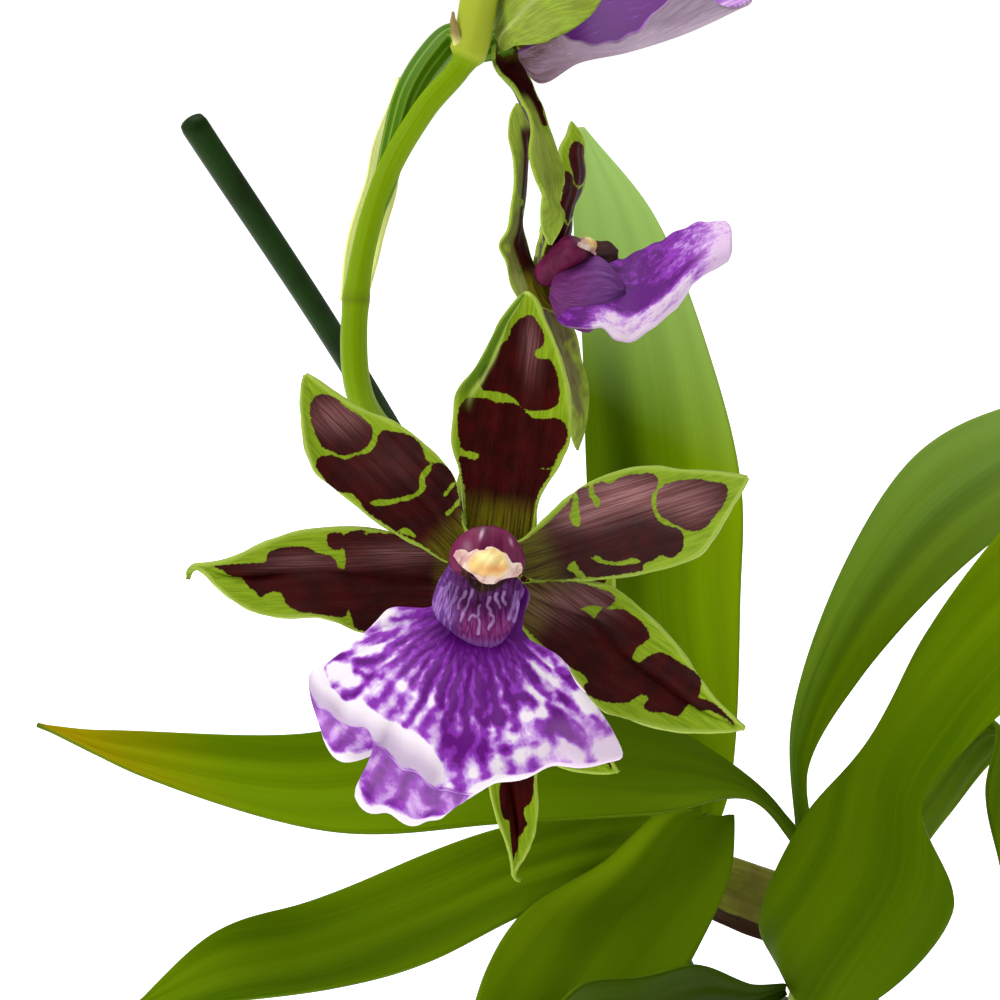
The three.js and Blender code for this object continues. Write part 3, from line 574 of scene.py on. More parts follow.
# The ribbed callus on the lip, row by row from under the column to its foot, and the pale wavy
# lines on it, in the flower's millimetres as they look from the front.
CALLUS_ROWS = [
    [(-5.4, 0, 9), (-4.7, -0.2, 9), (-3.8, -1, 8.8), (-2.6, -2, 8.4), (-1, -2.3, 8), (0.5, -2.2, 8),
     (1.9, -1.9, 8.1), (3, -1.9, 8.2), (3.7, -2.6, 8.4)],
    [(-7, -2.8, 9.4), (-6, -3, 9.4), (-4.5, -4, 9), (-2.9, -4.5, 8.5), (-1, -4.8, 8.3), (0.5, -4.8, 8.3),
     (2, -4.5, 8.5), (3.1, -4.1, 9), (3.9, -3.4, 9.6)],
    [(-7.5, -5.5, 10), (-6.2, -5.6, 10.7), (-4.7, -6, 10.8), (-3, -6.4, 10.6), (-1, -6.7, 10.4),
     (0.5, -6.7, 10.4), (1.8, -6.4, 10.5), (2.7, -6, 10.5), (3.3, -5.4, 10)],
    [(-6.9, -6.9, 10), (-5.9, -7.3, 10.7), (-4.5, -7.9, 11.1), (-2.9, -8.4, 11.2), (-1, -8.7, 11.2),
     (0.4, -8.7, 11.2), (1.6, -8.4, 11), (2.4, -7.9, 10.5), (2.8, -7.4, 9.8)],
    [(-5.4, -8.2, 9.2), (-4.7, -8.7, 9.8), (-3.8, -9.2, 10.2), (-2.6, -9.7, 10.4), (-1, -10, 10.5),
     (0.2, -10, 10.4), (1.1, -9.6, 10.1), (1.7, -9, 9.6), (2, -8.7, 9)],
    [(-4.8, -8.7, 8.2), (-4.2, -9.2, 8.8), (-3.4, -9.8, 9.2), (-2.3, -10.4, 9.5), (-1, -10.7, 9.6),
     (0.1, -10.7, 9.6), (0.9, -10.2, 9.2), (1.5, -9.5, 8.4), (1.8, -9, 8)],
]
CALLUS_LINES = [
    [(-2.5, -3.4), (-2.65, -4.1), (-2.95, -4.7), (-3.05, -5.3), (-3.6, -6.2), (-3.75, -6.8),
     (-4.1, -7.4)],
    [(-1.55, -5.5), (-1.75, -6), (-1.7, -6.5), (-1.85, -7), (-1.6, -7.6), (-1.75, -8.2), (-1.8, -8.9)],
    [(-1.7, -6.5), (-2.1, -6.9), (-2.5, -6.7), (-3, -7.3)],
    [(-0.3, -4.4), (-0.45, -5), (-0.6, -5.6), (-0.25, -6.1), (-0.2, -6.6), (0.15, -7), (0, -7.6),
     (-0.5, -8.4)],
    [(0.6, -3.9), (0.45, -4.4), (0.75, -5.2), (1.05, -5.9)],
    [(1.6, -3.7), (1.4, -4.6), (1.75, -5.5)],
    [(-3.4, -3.6), (-3.7, -4.4), (-4.3, -5.1), (-4.4, -5.9)],
]
CALLUS_STREAKS = [
    [(2.7, -4.2), (2.5, -5.6), (2.1, -7.2)],
    [(3.5, -3.7), (3.1, -5.6), (2.6, -7.4)],
    [(3.1, -3.7), (2.9, -5), (2.4, -6.4)],
    [(-4.4, -3), (-5, -4.6), (-5.8, -6.2), (-6, -7.6)],
    [(-5.3, -2.4), (-6, -4), (-6.5, -5.8), (-6.8, -7)],
    [(-6.3, -3.2), (-6.9, -4.6), (-7.2, -6)],
    [(-4.9, -6.6), (-5.2, -7.4), (-5.2, -8.4)],
    [(-5, -2.6), (-5.5, -4.2), (-6.1, -5.9)],
    [(-5.8, -2.9), (-6.5, -4.4), (-6.9, -6.4)],
    [(-4.6, -4.4), (-5.3, -5.8), (-5.5, -7)],
]
# The dark slit below the anther, painted in as shade.
SLIT_LINE = [(-1.7, -2.8), (-1.75, -4.2), (-1.7, -5.3)]

FLOWERS = {
    "main": {
        "centre": (-81, -146, 337), "azimuth": 0, "elevation": 24, "roll": 0, "size": 1, "lip_size": 1,
        "raise": 0, "neck": 7,
        "stalk": [(-85, -121, 330), (-90, -101, 329)],
        "own": {},
    },
    "side": {
        "centre": (-74, -63, 356), "azimuth": 84, "elevation": 0, "roll": -12, "size": 0.84,
        "lip_size": 1.05, "raise": 96, "neck": 2.6,
        "stalk": [(-75, -60, 350), (-75.5, -61, 343), (-79, -68, 332), (-84, -78, 321), (-86, -78, 317)],
        "column_tilt": 44, "column_size": 0.86, "column_shift": (0, -3.6, 0.6), "stalk_start": 1.8,
        "own": {"lateral_sepal_right": {"angle": -42, "layer": -2.3}},
    },
    "top": {
        "centre": (-78, -97, 400), "azimuth": 80, "elevation": 14, "roll": -12, "size": 0.9,
        "lip_size": 1.05, "raise": 90, "neck": 5,
        "stalk": [(-87.3, -91.7, 399.2), (-90.9, -95.1, 396.1), (-93.8, -99.5, 391.8),
                  (-95.5, -103.4, 386.3), (-96.7, -106, 381.4), (-98.7, -108.8, 376.4)],
        "stalk_size": 1.12, "column_tilt": 40, "column_size": 0.74,
        "own": {"lateral_sepal_right": {"angle": 18, "lift": 30, "layer": -2.5, "stretch": 28 / 41.1}},
    },
    "rear": {
        "centre": (-80, -101, 302), "azimuth": 0, "elevation": 20, "roll": 0, "size": 0.98,
        "lip_size": 0.84, "raise": 82, "neck": 7,
        "stalk": [(-76, -72, 290), (-71, -45, 279), (-66, -22, 272)],
        "own": {
            "dorsal_sepal": {"angle": 96, "lift": 22}, "petal_left": {"angle": 152, "lift": 12},
            "petal_right": {"angle": 44, "lift": 16, "stretch": 0.74},
            "lateral_sepal_left": {"angle": -86, "layer": -2.3, "slim": 0.68},
            "lateral_sepal_right": {"angle": -46, "lift": 14, "stretch": 29 / 41.1},
        },
    },
}


# The rim and foot of the anther cap from left to right, in the flower's millimetres.
# A column's path and radii, before it is scaled.
COLUMN = np.array([(0, 0.8, 1), (0, 1.2, 4), (-0.3, 0.7, 8), (-0.7, -0.1, 11), (-0.75, -0.5, 14.2)])
COLUMN_RADII = [2.2, 2.8, 3.4, 4.1, 4.8, 5.1, 4.5]
ANTHER_TOP = (
    [-4.96, -4.62, -4.0, -3.37, -2.97, -2.46, -1.9, -1.33, -0.65, 0.03, 0.72, 1.17, 1.85, 2.19, 2.53, 3.1,
     3.67, 3.9],
    [0.93, 1.62, 1.75, 1.66, 1.3, 1.6, 1.95, 1.82, 2.08, 2.1, 1.82, 1.45, 1.2, 0.62, 0.0, 0.04, 0.02,
     -0.62],
)
ANTHER_FOOT = (
    [-4.96, -4.73, -4.28, -3.71, -3.14, -2.46, -1.9, -1.33, -0.65, 0.37, 0.72, 1.4, 2.3, 3.21, 3.84, 3.9],
    [0.93, 0.62, -0.06, -0.62, -1.02, -1.42, -2.04, -2.55, -2.69, -2.67, -2.38, -2.04, -1.87, -1.76, -1.2,
     -0.62],
)


# The tepals of the side and top blooms that hang or curl in their own way, between two edges.
HANGING = {
    "top_lateral_sepal_left": {
        "fold": 1.2,
        "left": [(-79.6, -97.8, 399.9), (-81, -99.3, 399), (-81, -100, 397.3), (-80, -100.6, 395.8),
                 (-78.2, -101.2, 394.3), (-77.1, -102.1, 392.2), (-75.9, -102.9, 390),
                 (-75.2, -103.9, 387.7), (-75.3, -105, 385), (-75, -105.9, 382.6), (-74.5, -106.7, 380.6),
                 (-73.7, -107.3, 379.2), (-73.8, -107.1, 376.9), (-73.7, -108.2, 374.2),
                 (-72.7, -108.2, 371.7)],
        "right": [(-78.5, -96.1, 399), (-77.8, -95.4, 397.9), (-76.1, -95.3, 395.6), (-75.2, -95, 393.6),
                  (-74.6, -95.9, 391.4), (-73.8, -96.6, 389.6), (-72.9, -97.5, 387.4),
                  (-72, -98.2, 385.8), (-71.2, -99.1, 383.4), (-70.7, -100, 381.2),
                  (-70.8, -101.9, 379.3), (-71.2, -103.8, 377), (-70.3, -105.6, 375.4),
                  (-71.1, -107.4, 373.7), (-72.4, -108.2, 371.7)],
    },
    "top_petal_left": {
        "fold": 1.8,
        "left": [(-80, -97.2, 398.9), (-80.7, -98.2, 401.7), (-80.1, -100, 405.2), (-78.9, -101.8, 408.8),
                 (-75.7, -103.8, 412), (-71.6, -105, 414.2), (-66.8, -106.7, 415.4),
                 (-63.1, -107.8, 415.4)],
        "right": [(-79.1, -99.4, 398.7), (-77.7, -102.2, 399.8), (-74.7, -105.2, 400.4),
                  (-71.5, -108, 401.6), (-68.5, -109.3, 403.6), (-66.3, -109.4, 406.1),
                  (-64.4, -109, 409.7), (-62.9, -108, 414.9)],
    },
    "side_dorsal_sepal": {
        "fold": 0.8,
        "left": [(-76.3, -66.8, 351.2), (-78.1, -64.5, 354.2), (-78.9, -64.2, 357.7), (-80.2, -64, 360.9),
                 (-78.4, -63.9, 363.7), (-77.9, -63.3, 368), (-77.6, -62.7, 372.2), (-77.6, -62.1, 376.4),
                 (-78.4, -61.8, 379.7), (-78.3, -60.6, 382.8), (-77.3, -59.7, 384.8)],
        "right": [(-70.2, -67.4, 349.9), (-71.4, -63.6, 354.0), (-74.5, -60.2, 357.1),
                  (-75.4, -58.7, 360.7), (-76.1, -58.5, 363.9), (-75.9, -57.9, 367.9),
                  (-75.4, -57.3, 372.2), (-74.9, -56.7, 376.3), (-74.4, -57.6, 379.4),
                  (-75.2, -58.5, 382.6), (-76.9, -59.7, 384.8)],
    },
    "side_petal_left": {
        "fold": 0.8,
        "left": [(-72.8, -63.1, 357.8), (-72.1, -63.9, 361), (-71.2, -64.6, 364.7), (-70.2, -65.4, 368.1),
                 (-69.6, -66.5, 370.7), (-69.6, -66.3, 373.9), (-69.7, -66.8, 378.1),
                 (-68.8, -66.8, 380.6), (-68.1, -67, 382.8)],
        "right": [(-71.4, -59.6, 355.8), (-69.3, -58.4, 358.8), (-67.6, -58.2, 362),
                  (-66.9, -57.6, 366.2), (-65.9, -58.3, 369.7), (-65, -59.2, 372.9), (-65.5, -61, 376.3),
                  (-65.8, -63.1, 379.1), (-67.7, -67, 382.8)],
    },
    "side_lateral_sepal_left": {
        "fold": 0.8,
        "left": [(-74.7, -65.1, 352.9), (-73, -67.2, 350.2), (-71.6, -69.8, 346.5), (-70.2, -72.6, 342.4),
                 (-69.2, -74.4, 337.9), (-68.2, -76.2, 333.4), (-67.2, -76.6, 329.8),
                 (-66.5, -76.4, 327.5)],
        "right": [(-73.4, -61, 352.2), (-70.2, -60.9, 349.8), (-67.8, -62.2, 346.6),
                  (-66.1, -63.8, 342.8), (-65, -66.4, 339), (-64.5, -69.1, 335), (-64.8, -72.9, 330.9),
                  (-66.2, -76.4, 327.5)],
    },
}
# The lips of the side and top blooms, row by row from the claw to the hem. Each row runs from
# the margin at the flower's left over the middle to its right.
OWN_LIPS = {
    "top_lip": [
        [(-77.4, -102.6, 398.8), (-77.1, -100.8, 397.9), (-76.9, -98.9, 397.3), (-76.7, -96.7, 397.4),
         (-76.5, -94.4, 397.8)],
        [(-73.1, -106.1, 400.9), (-74.3, -106.2, 397.9), (-74.1, -102.1, 394.6), (-72.8, -93.5, 397.2),
         (-71.5, -88.5, 401.8)],
        [(-70.4, -110.1, 401.7), (-69.8, -109.9, 399.5), (-68.4, -104.1, 397.9), (-66.4, -91.6, 402.1),
         (-64.6, -84.4, 406.5)],
        [(-64.4, -112.4, 401.2), (-63.4, -110.7, 400.3), (-61.3, -104.4, 399.6), (-58.9, -90.7, 404.2),
         (-57.7, -82.2, 409.3)],
        [(-59.1, -111.1, 404.5), (-56.9, -109.7, 402.7), (-53.4, -104.6, 402), (-50.9, -91.7, 407.2),
         (-50.9, -83.1, 412.3)],
        [(-53.2, -106, 409.2), (-48.8, -106.3, 405.8), (-44.1, -102, 405.8), (-43.1, -94.2, 408.8),
         (-44.6, -87.3, 412.6)],
    ],
    "side_lip": [
        [(-70.7, -66.6, 351.9), (-70.7, -65.4, 352.1), (-70.6, -64.2, 352.3), (-70.6, -63.1, 352.6),
         (-70.4, -61.9, 352.8)],
        [(-69.4, -73.9, 349.6), (-68.6, -71.9, 351.9), (-67.6, -67.1, 353.3), (-66.3, -61.2, 354.4),
         (-64.8, -55.5, 355.3)],
        [(-63.4, -78.1, 350), (-62.9, -75.1, 352.1), (-62.1, -69.2, 353.5), (-61.2, -62.1, 354.9),
         (-60.4, -54.2, 355.8)],
        [(-58.5, -80.8, 348.7), (-58.1, -77.7, 351.1), (-57.2, -71.4, 353.2), (-56, -63.1, 355.1),
         (-54.6, -53.7, 357.1)],
        [(-52.3, -78.5, 351.7), (-52.2, -76.5, 354.1), (-51.7, -71.4, 355.9), (-50.6, -63.1, 357.8),
         (-49.3, -53.5, 360.2)],
        [(-46.6, -73.2, 356.8), (-46.2, -72.4, 358.7), (-45.7, -68.6, 360.1), (-44.6, -61.6, 361.4),
         (-43.4, -54.7, 362.7)],
        [(-40.7, -68, 359), (-39.9, -66.4, 360.4), (-39.5, -63.6, 361.9), (-39.2, -59.9, 363),
         (-39.7, -56.5, 363.4)],
    ],
}


# The side bloom's callus as it shows beside the column, between its lower and upper edge.
# The flange is painted all over in the painted shade of the slit under the column.
SIDE_CALLUS = {
    "side_callus": {
        "fold": -2.6, "in_shade": 0,
        "left": [(-71.5, -70.3, 353.3), (-70.3, -72.4, 350.8), (-67.8, -74.2, 349.0),
                 (-64.8, -75.4, 348.7), (-62.3, -74.4, 350.4), (-58.6, -69.6, 353.8)],
        "right": [(-70.9, -67.5, 355.0), (-69.5, -65.7, 356.7), (-67.4, -64.2, 357.7),
                  (-64.9, -63.7, 358.9), (-62, -64.9, 358.6), (-58.4, -68.2, 354.6)],
    },
    "side_callus_flange": {
        "fold": -1, "in_shade": 1,
        "left": [(-65.3, -60.2, 357.1), (-64.0, -60.4, 356.4), (-62.2, -60.4, 356.4),
                 (-60.5, -60.2, 356.9), (-59.0, -59.9, 357.7)],
        "right": [(-65.0, -58.4, 358.8), (-63.9, -57.0, 359.6), (-62.1, -56.9, 359.9),
                  (-60.3, -57.0, 359.6), (-59.0, -58.5, 358.5)],
    },
}


def flower_axes(flower):
    """The turn that takes a flower's own axes to the plant's."""
    return turn_z(flower["azimuth"]) @ turn_x(90 - flower["elevation"]) @ turn_z(flower["roll"])


def to_plant(flower, points):
    return points @ flower_axes(flower).T + np.array(flower["centre"])


def sheet_to_local(points, angle):
    """Sheet points as distances out along a tepal and across it."""
    x, y = ((np.asarray(points, float) - SHEET_CENTRE) * SHEET_UNIT * (1, -1)).T
    c, s = math.cos(math.radians(angle)), math.sin(math.radians(angle))
    return np.stack([x * c + y * s, y * c - x * s], axis=1)


def margin(points, angle, base):
    """A margin as a function of the distance out."""
    local = np.vstack([[(BASE_RADIUS, base)], sheet_to_local(points, angle)])
    dense = smooth_path(local, np.linspace(0, 1, 400))
    return np.maximum.accumulate(dense[:, 0]), dense[:, 1]


def tepal_spots(form, s, t):
    """Where a tepal's points lie: out along it, across it, and their share of its width."""
    left = margin(form["left"], form["angle"], 1.9)
    right = margin(form["right"], form["angle"], -1.9)
    reach = min(left[0][-1], right[0][-1])
    out = BASE_RADIUS + (reach - BASE_RADIUS) * (1 - (1 - t) ** 1.25)
    far, near = np.interp(out, *left), np.interp(out, *right)
    return out, far + (near - far) * (s + 1) / 2, far - near, reach


def tepal_place(form, own, flower):
    form_angle, shape = form["angle"], {**form, **own}
    size, lift = flower["size"], math.radians(shape.get("lift", 0))
    stretch = shape.get("stretch", 1)

    def place(s, t):
        out, across, width, reach = tepal_spots(form, s, t)
        share = out / reach
        slim = np.clip(width / 9, 0, 1)
        cup = shape["cup"] * s**2 * smoothstep(share, 0.35, 0.7) * (1 - share**6)
        keel = -shape["keel"] * bell(s, shape["keel_at"], 0.16)
        keel = keel * smoothstep(share, 0.02, 0.3) * (0.35 + 0.65 * slim)
        left_curl, right_curl = shape["curl"]
        curl = left_curl * smoothstep(-s, 0.72, 1.0) + right_curl * smoothstep(s, 0.72, 1.0)
        wave = 0.25 * np.sin(share * 17 + 2 * np.sign(s) + form_angle) * s**4
        veins = 0.07 * np.cos(across * 3.4) * slim
        tip = shape["tip"] * smoothstep(share, 0.9, 1)
        height = shape["layer"] + shape["arch"] * share**2 + cup + keel + veins + tip
        height += (0.5 * curl + wave) * slim * smoothstep(share, 0.12, 0.35)
        run = (out - BASE_RADIUS) * size * stretch
        x = BASE_RADIUS + run * math.cos(lift) - height * math.sin(lift)
        z = height * math.cos(lift) + run * math.sin(lift)
        broad = 1 + (size * shape.get("slim", 1) - 1) * smoothstep(out, 2.5, 6)
        local = np.stack([x, across * broad, z], axis=1)
        return to_plant(flower, local @ turn_z(shape["angle"]).T)
    return place


# How much the waxy tepals shine, and the others, which are nearly matt.
DULL = 0.05
GLOSS = {
    "main_petal_right": 0.2, "main_petal_left": 0.1, "main_lateral_sepal_left": 0.09,
    "main_lateral_sepal_right": 0.12,
}
# Where light lies on the waxy blotches, as soft ellipses on the drawing sheet: centre, half
# width, half height and strength.
SHEEN = {
    "main_petal_right": [(1215, 605, 120, 46, 0.95), (1080, 660, 90, 40, 0.6), (1385, 630, 80, 56, 0.5)],
    "main_petal_left": [(427, 395, 80, 50, 0.45), (560, 520, 100, 60, 0.08)],
    "main_lateral_sepal_left": [(600, 765, 110, 30, 0.4), (330, 790, 110, 26, 0.3)],
    "main_dorsal_sepal": [(950, 205, 26, 80, 0.36)],
    "main_lateral_sepal_right": [(1120, 880, 110, 50, 0.35), (1000, 900, 90, 60, 0.3)],
}


def mark_tepal(piece, form):
    """Gives a tepal's points their place on it, and their depth inside its blotches."""
    s, t = read_mark(piece, "s"), read_mark(piece, "t")
    out, across, width = tepal_spots(form, s, t)[:3]
    c, d = math.cos(math.radians(form["angle"])), math.sin(math.radians(form["angle"]))
    sheet_x = SHEET_CENTRE[0] + (out * c - across * d) / SHEET_UNIT
    sheet_y = SHEET_CENTRE[1] - (out * d + across * c) / SHEET_UNIT
    depth = np.max([depth_inside(loop, sheet_x, sheet_y) for loop in form["blotches"]], axis=0)
    for gap in form["gaps"]:
        depth = np.minimum(depth, -depth_inside(gap, sheet_x, sheet_y))
    name = piece.name.removesuffix("_blade")
    # Painted sheen, from the SHEEN table.
    sheen = sum(
        weight * soft_spot(sheet_x, sheet_y, *spot) for *spot, weight in SHEEN.get(name, ())
    )
    bruise = 0.35 if name.startswith("top_") else 1.3 if name.startswith("side_lateral") else 1.0
    dorsal = float(name == "main_dorsal_sepal")
    # On the dorsal sepal, a painted highlight runs along the crest of the folded left margin and over the
    # hooked tip; the folded strip beyond it is painted dark green, a green margin in painted shade.
    far = smoothstep(t, 0.42, 0.55)
    crest = bell(s, -0.76, 0.05) * far + smoothstep(t, 0.965, 0.985)
    write_marks(
        piece, depth=depth * SHEET_UNIT, across=across, out=out, grain=form["angle"] * 0.37,
        margin=(1 - np.abs(s)) * width / 2, olive=1 - smoothstep(out, *form["olive"]), bruise=bruise,
        midvein=0.7 * bell(s, 0, 0.05) * (1 - t), sheen=sheen, lined=0.7 * (1 - smoothstep(out, 9, 20)),
        fold=dorsal * smoothstep(-s, 0.78, 0.86) * far * 0.8, crest=dorsal * np.minimum(crest, 1) * 0.9,
        gloss=GLOSS.get(name, DULL),
    )


def lip_points(s, t):
    """The lip's surface in the flower's own millimetres, before it is raised."""
    points = rows_surface(LIP_ROWS, s, t)
    crimp = smoothstep(t, 0.62, 0.74) * smoothstep(-t, -0.9, -0.84) * smoothstep(-s, -0.15, 0.1)
    points[:, 1] += 0.4 * crimp * np.sin(15 * s + 1)
    points[:, 2] += 0.5 * crimp * np.sin(13 * s + 9 * t)
    return points


def raise_lip(points, flower, t):
    """Bends the lip up about its hinge, and scales it."""
    bend = -flower["raise"] * smoothstep(t, 0.1, 0.5)
    local = points - LIP_HINGE
    c, d = np.cos(np.radians(bend)), np.sin(np.radians(bend))
    y, z = local[:, 1] * c - local[:, 2] * d, local[:, 1] * d + local[:, 2] * c
    return (np.stack([local[:, 0], y, z], axis=1) + LIP_HINGE) * flower["lip_size"]


def own_lip_place(rows):
    """A lip whose rows already lie in the plant."""
    def place(s, t):
        points = rows_surface(rows, s, t)
        frill = smoothstep(np.abs(s), 0.55, 1) * smoothstep(t, 0.1, 0.4) * smoothstep(-t, -0.98, -0.8)
        points[:, 2] += frill * (0.28 * np.sin(t * 25 + s) + 0.18 * np.sin(t * 57))
        points[:, 1] += 0.4 * frill * np.sin(t * 38 + 1)
        return points
    return place


def lip_place(flower):
    def place(s, t):
        points = lip_points(s, t)
        ruffle = smoothstep(t, 0.55, 0.95)
        ribs = 0.13 * np.cos(s * 46) * smoothstep(t, 0.3, 0.45) * (1 - smoothstep(t, 0.5, 0.75))
        points[:, 2] += ribs + ruffle * (0.45 * np.sin(s * 19 + 1) + 0.25 * np.sin(s * 41))
        points[:, 1] += 0.35 * ruffle * np.sin(s * 33 + 2)
        return to_plant(flower, raise_lip(points, flower, t))
    return place


def callus_points(s, t):
    """The callus between its rows, in the flower's own millimetres."""
    points = rows_surface(CALLUS_ROWS, s, t)
    points[:, :2] *= ((LIP_VIEW - points[:, 2]) / (LIP_VIEW - 14))[:, None]
    return points


def callus_face(points):
    """How callus points look from the front, on the plane of the column's end."""
    return (points[:, :2] * ((LIP_VIEW - 14) / (LIP_VIEW - points[:, 2]))[:, None]).T


def callus_place(flower):
    """The ribbed collar that stands on the lip below the column."""
    def place(s, t):
        points = callus_points(s, t)
        x, y = callus_face(points)
        ribs = sum(bell(distance_to(line, x, y), 0, 0.18) for line in CALLUS_LINES)
        grooves = 0.09 * np.cos(s * 40 + 2 * np.sin(6 * t)) * (1 - s**4)
        points[:, 2] += 0.16 * np.minimum(ribs, 1) + grooves
        points[:, 2] -= 0.5 * smoothstep(t, 0.9, 1)
        return to_plant(flower, raise_lip(points, flower, 0.13 + 0.2 * t))
    return place


def mark_lip(lip):
    """Gives a lip's points their share of violet, and their place in its fan of streaks."""
    s, t = read_mark(lip, "s"), read_mark(lip, "t")
    local = lip_points(s, t)
    near = 1 - local[:, 2] / LIP_VIEW
    x = LIP_CENTRE[0] + local[:, 0] / near / LIP_UNIT
    y = LIP_CENTRE[1] - local[:, 1] / near / LIP_UNIT
    inside = depth_inside(LIP_DENSE, x, y)
    violet = 0.58 + 0.36 * smoothstep(inside, -60, 40) + 0.2 * smoothstep(inside, 40, 140)
    for cx, cy, length, width, turn, weight in LIP_SPOTS:
        c, d = math.cos(math.radians(turn)), math.sin(math.radians(turn))
        along, aside = (x - cx) * c + (y - cy) * d, (y - cy) * c - (x - cx) * d
        weight *= 0.85 if weight > 0 else 0.6
        violet += weight * soft_spot(along, aside, 0, 0, length, width)
    band_end, lobe_end = 1 - smoothstep(s, 0.04, 0.12), 1 - smoothstep(s, 0.24, 0.32)
    under = smoothstep(t, 0.85, 0.87) * lobe_end
    start = 0.675 + 0.06 * smoothstep(s, -0.85, -0.5) + 0.012 * np.sin(19 * s)
    band = smoothstep(t - start, 0, 0.025) * band_end * (1 - smoothstep(t, 0.85, 0.87))
    violet = violet * (1 - np.maximum(band, under)) - 0.6 * band + under * 0.84
    violet -= (0.9 * smoothstep(t, 0.79, 0.82) + 0.6 * smoothstep(t, 0.86, 0.9)) * (1 - lobe_end)
    violet -= 1.2 * smoothstep(t, 0.97, 0.99)
    violet += (0.15 + 0.65 * smoothstep(s, 0.6, 0.9)) * (1 - smoothstep(t, 0.28, 0.42))
    violet -= 0.8 * smoothstep(-s, 0.9, 0.98) * smoothstep(t, 0.5, 0.6)
    pink = 0.5 * smoothstep(x, 1000, 1250) * smoothstep(y, 560, 640)
    pink += 0.55 * under * (1 - smoothstep(t, 0.93, 0.97))
    # Painted shade on both sides of the crease where the lip's white band rolls under.
    dusk = 0.8 * band * smoothstep(t, 0.74, 0.86) + 0.5 * under * (1 - smoothstep(t, 0.86, 0.93))
    out = np.hypot(x - LIP_FAN[0], y - LIP_FAN[1]) * LIP_UNIT
    write_marks(
        lip, violet=violet, pink=0.85 * np.clip(pink, 0, 1), out=out, grain=under * 5, dusk=dusk,
        across=np.arctan2(x - LIP_FAN[0], y - LIP_FAN[1]), ray=0.04 + 0.24 * smoothstep(out, 6, 12),
    )


def mark_own_lip(lip, bloom):
    """Violet down the middle, a white, mottled margin and a lilac tip."""
    s, t = read_mark(lip, "s"), read_mark(lip, "t")
    violet = 1.15 - 0.5 * smoothstep(t, 0.55, 0.8) - 0.45 * smoothstep(t, 0.84, 0.94)
    side = bloom == "side"
    if side:
        pale = smoothstep(-s, 0.3, 0.5) * smoothstep(t, 0.25, 0.4) * (1 - smoothstep(t, 0.74, 0.84))
        middle = bell(s, -0.1, 0.14) * smoothstep(t, 0.35, 0.5) * (1 - smoothstep(t, 0.8, 0.9))
        violet = violet * (1 - 0.8 * pale) - 0.45 * smoothstep(-s, 0.8, 0.95) * smoothstep(t, 0.2, 0.35)
        violet += 0.6 * middle - 0.3 * smoothstep(t, 0.84, 0.92) * smoothstep(-s, -0.4, 0.4)
        pink = 0.6 * pale + 0.9 * smoothstep(t, 0.78, 0.88)
    else:
        violet += 0.3
        pink = smoothstep(t, 0.8, 0.95)
    across, out, ray = (0.8, 52, 0.02) if side else (1.5, 24, 0.2)
    write_marks(
        lip, violet=violet, pink=0.8 * np.clip(pink, 0, 1), across=s * across, out=t * out, ray=ray,
        grain=9.0, dusk=0,
    )


def mark_callus(callus):
    """Gives the callus its pale lines, magenta floor, lilac flanges, and painted shade in its slit and
    under the column.
    """
    s, t = read_mark(callus, "s"), read_mark(callus, "t")
    x, y = callus_face(callus_points(s, t))
    middle = 1 - smoothstep(np.abs(x + 0.9), 2.6, 3.6)
    # Painted shadow under the column's hollow; with the dark slit it forms one painted shade mark.
    rise = np.where(x < -1.2, 0.4, 0.16) * (x + 1.2) ** 2
    shadow = smoothstep(y - rise, -4.2, -3.5) * (1 - smoothstep(-x, 3.6, 4.2))
    write_marks(
        callus, line=np.min([distance_to(line, x, y) for line in CALLUS_LINES], axis=0),
        streak=np.min([distance_to(line, x, y) for line in CALLUS_STREAKS], axis=0),
        floor=middle * smoothstep(-y, 5, 8.2) * (1 - 0.7 * smoothstep(-y, 9, 10.4)),
        flange=smoothstep(-x, 3.6, 6.4) + 0.6 * smoothstep(x, 2.8, 3.6),
        foot=0.75 * smoothstep(t, 0.66, 0.84),
        slit=np.maximum(bell(distance_to(SLIT_LINE, x, y), 0, 0.2), shadow),
        across=x / 6, out=-y / 6, grain=0,
    )


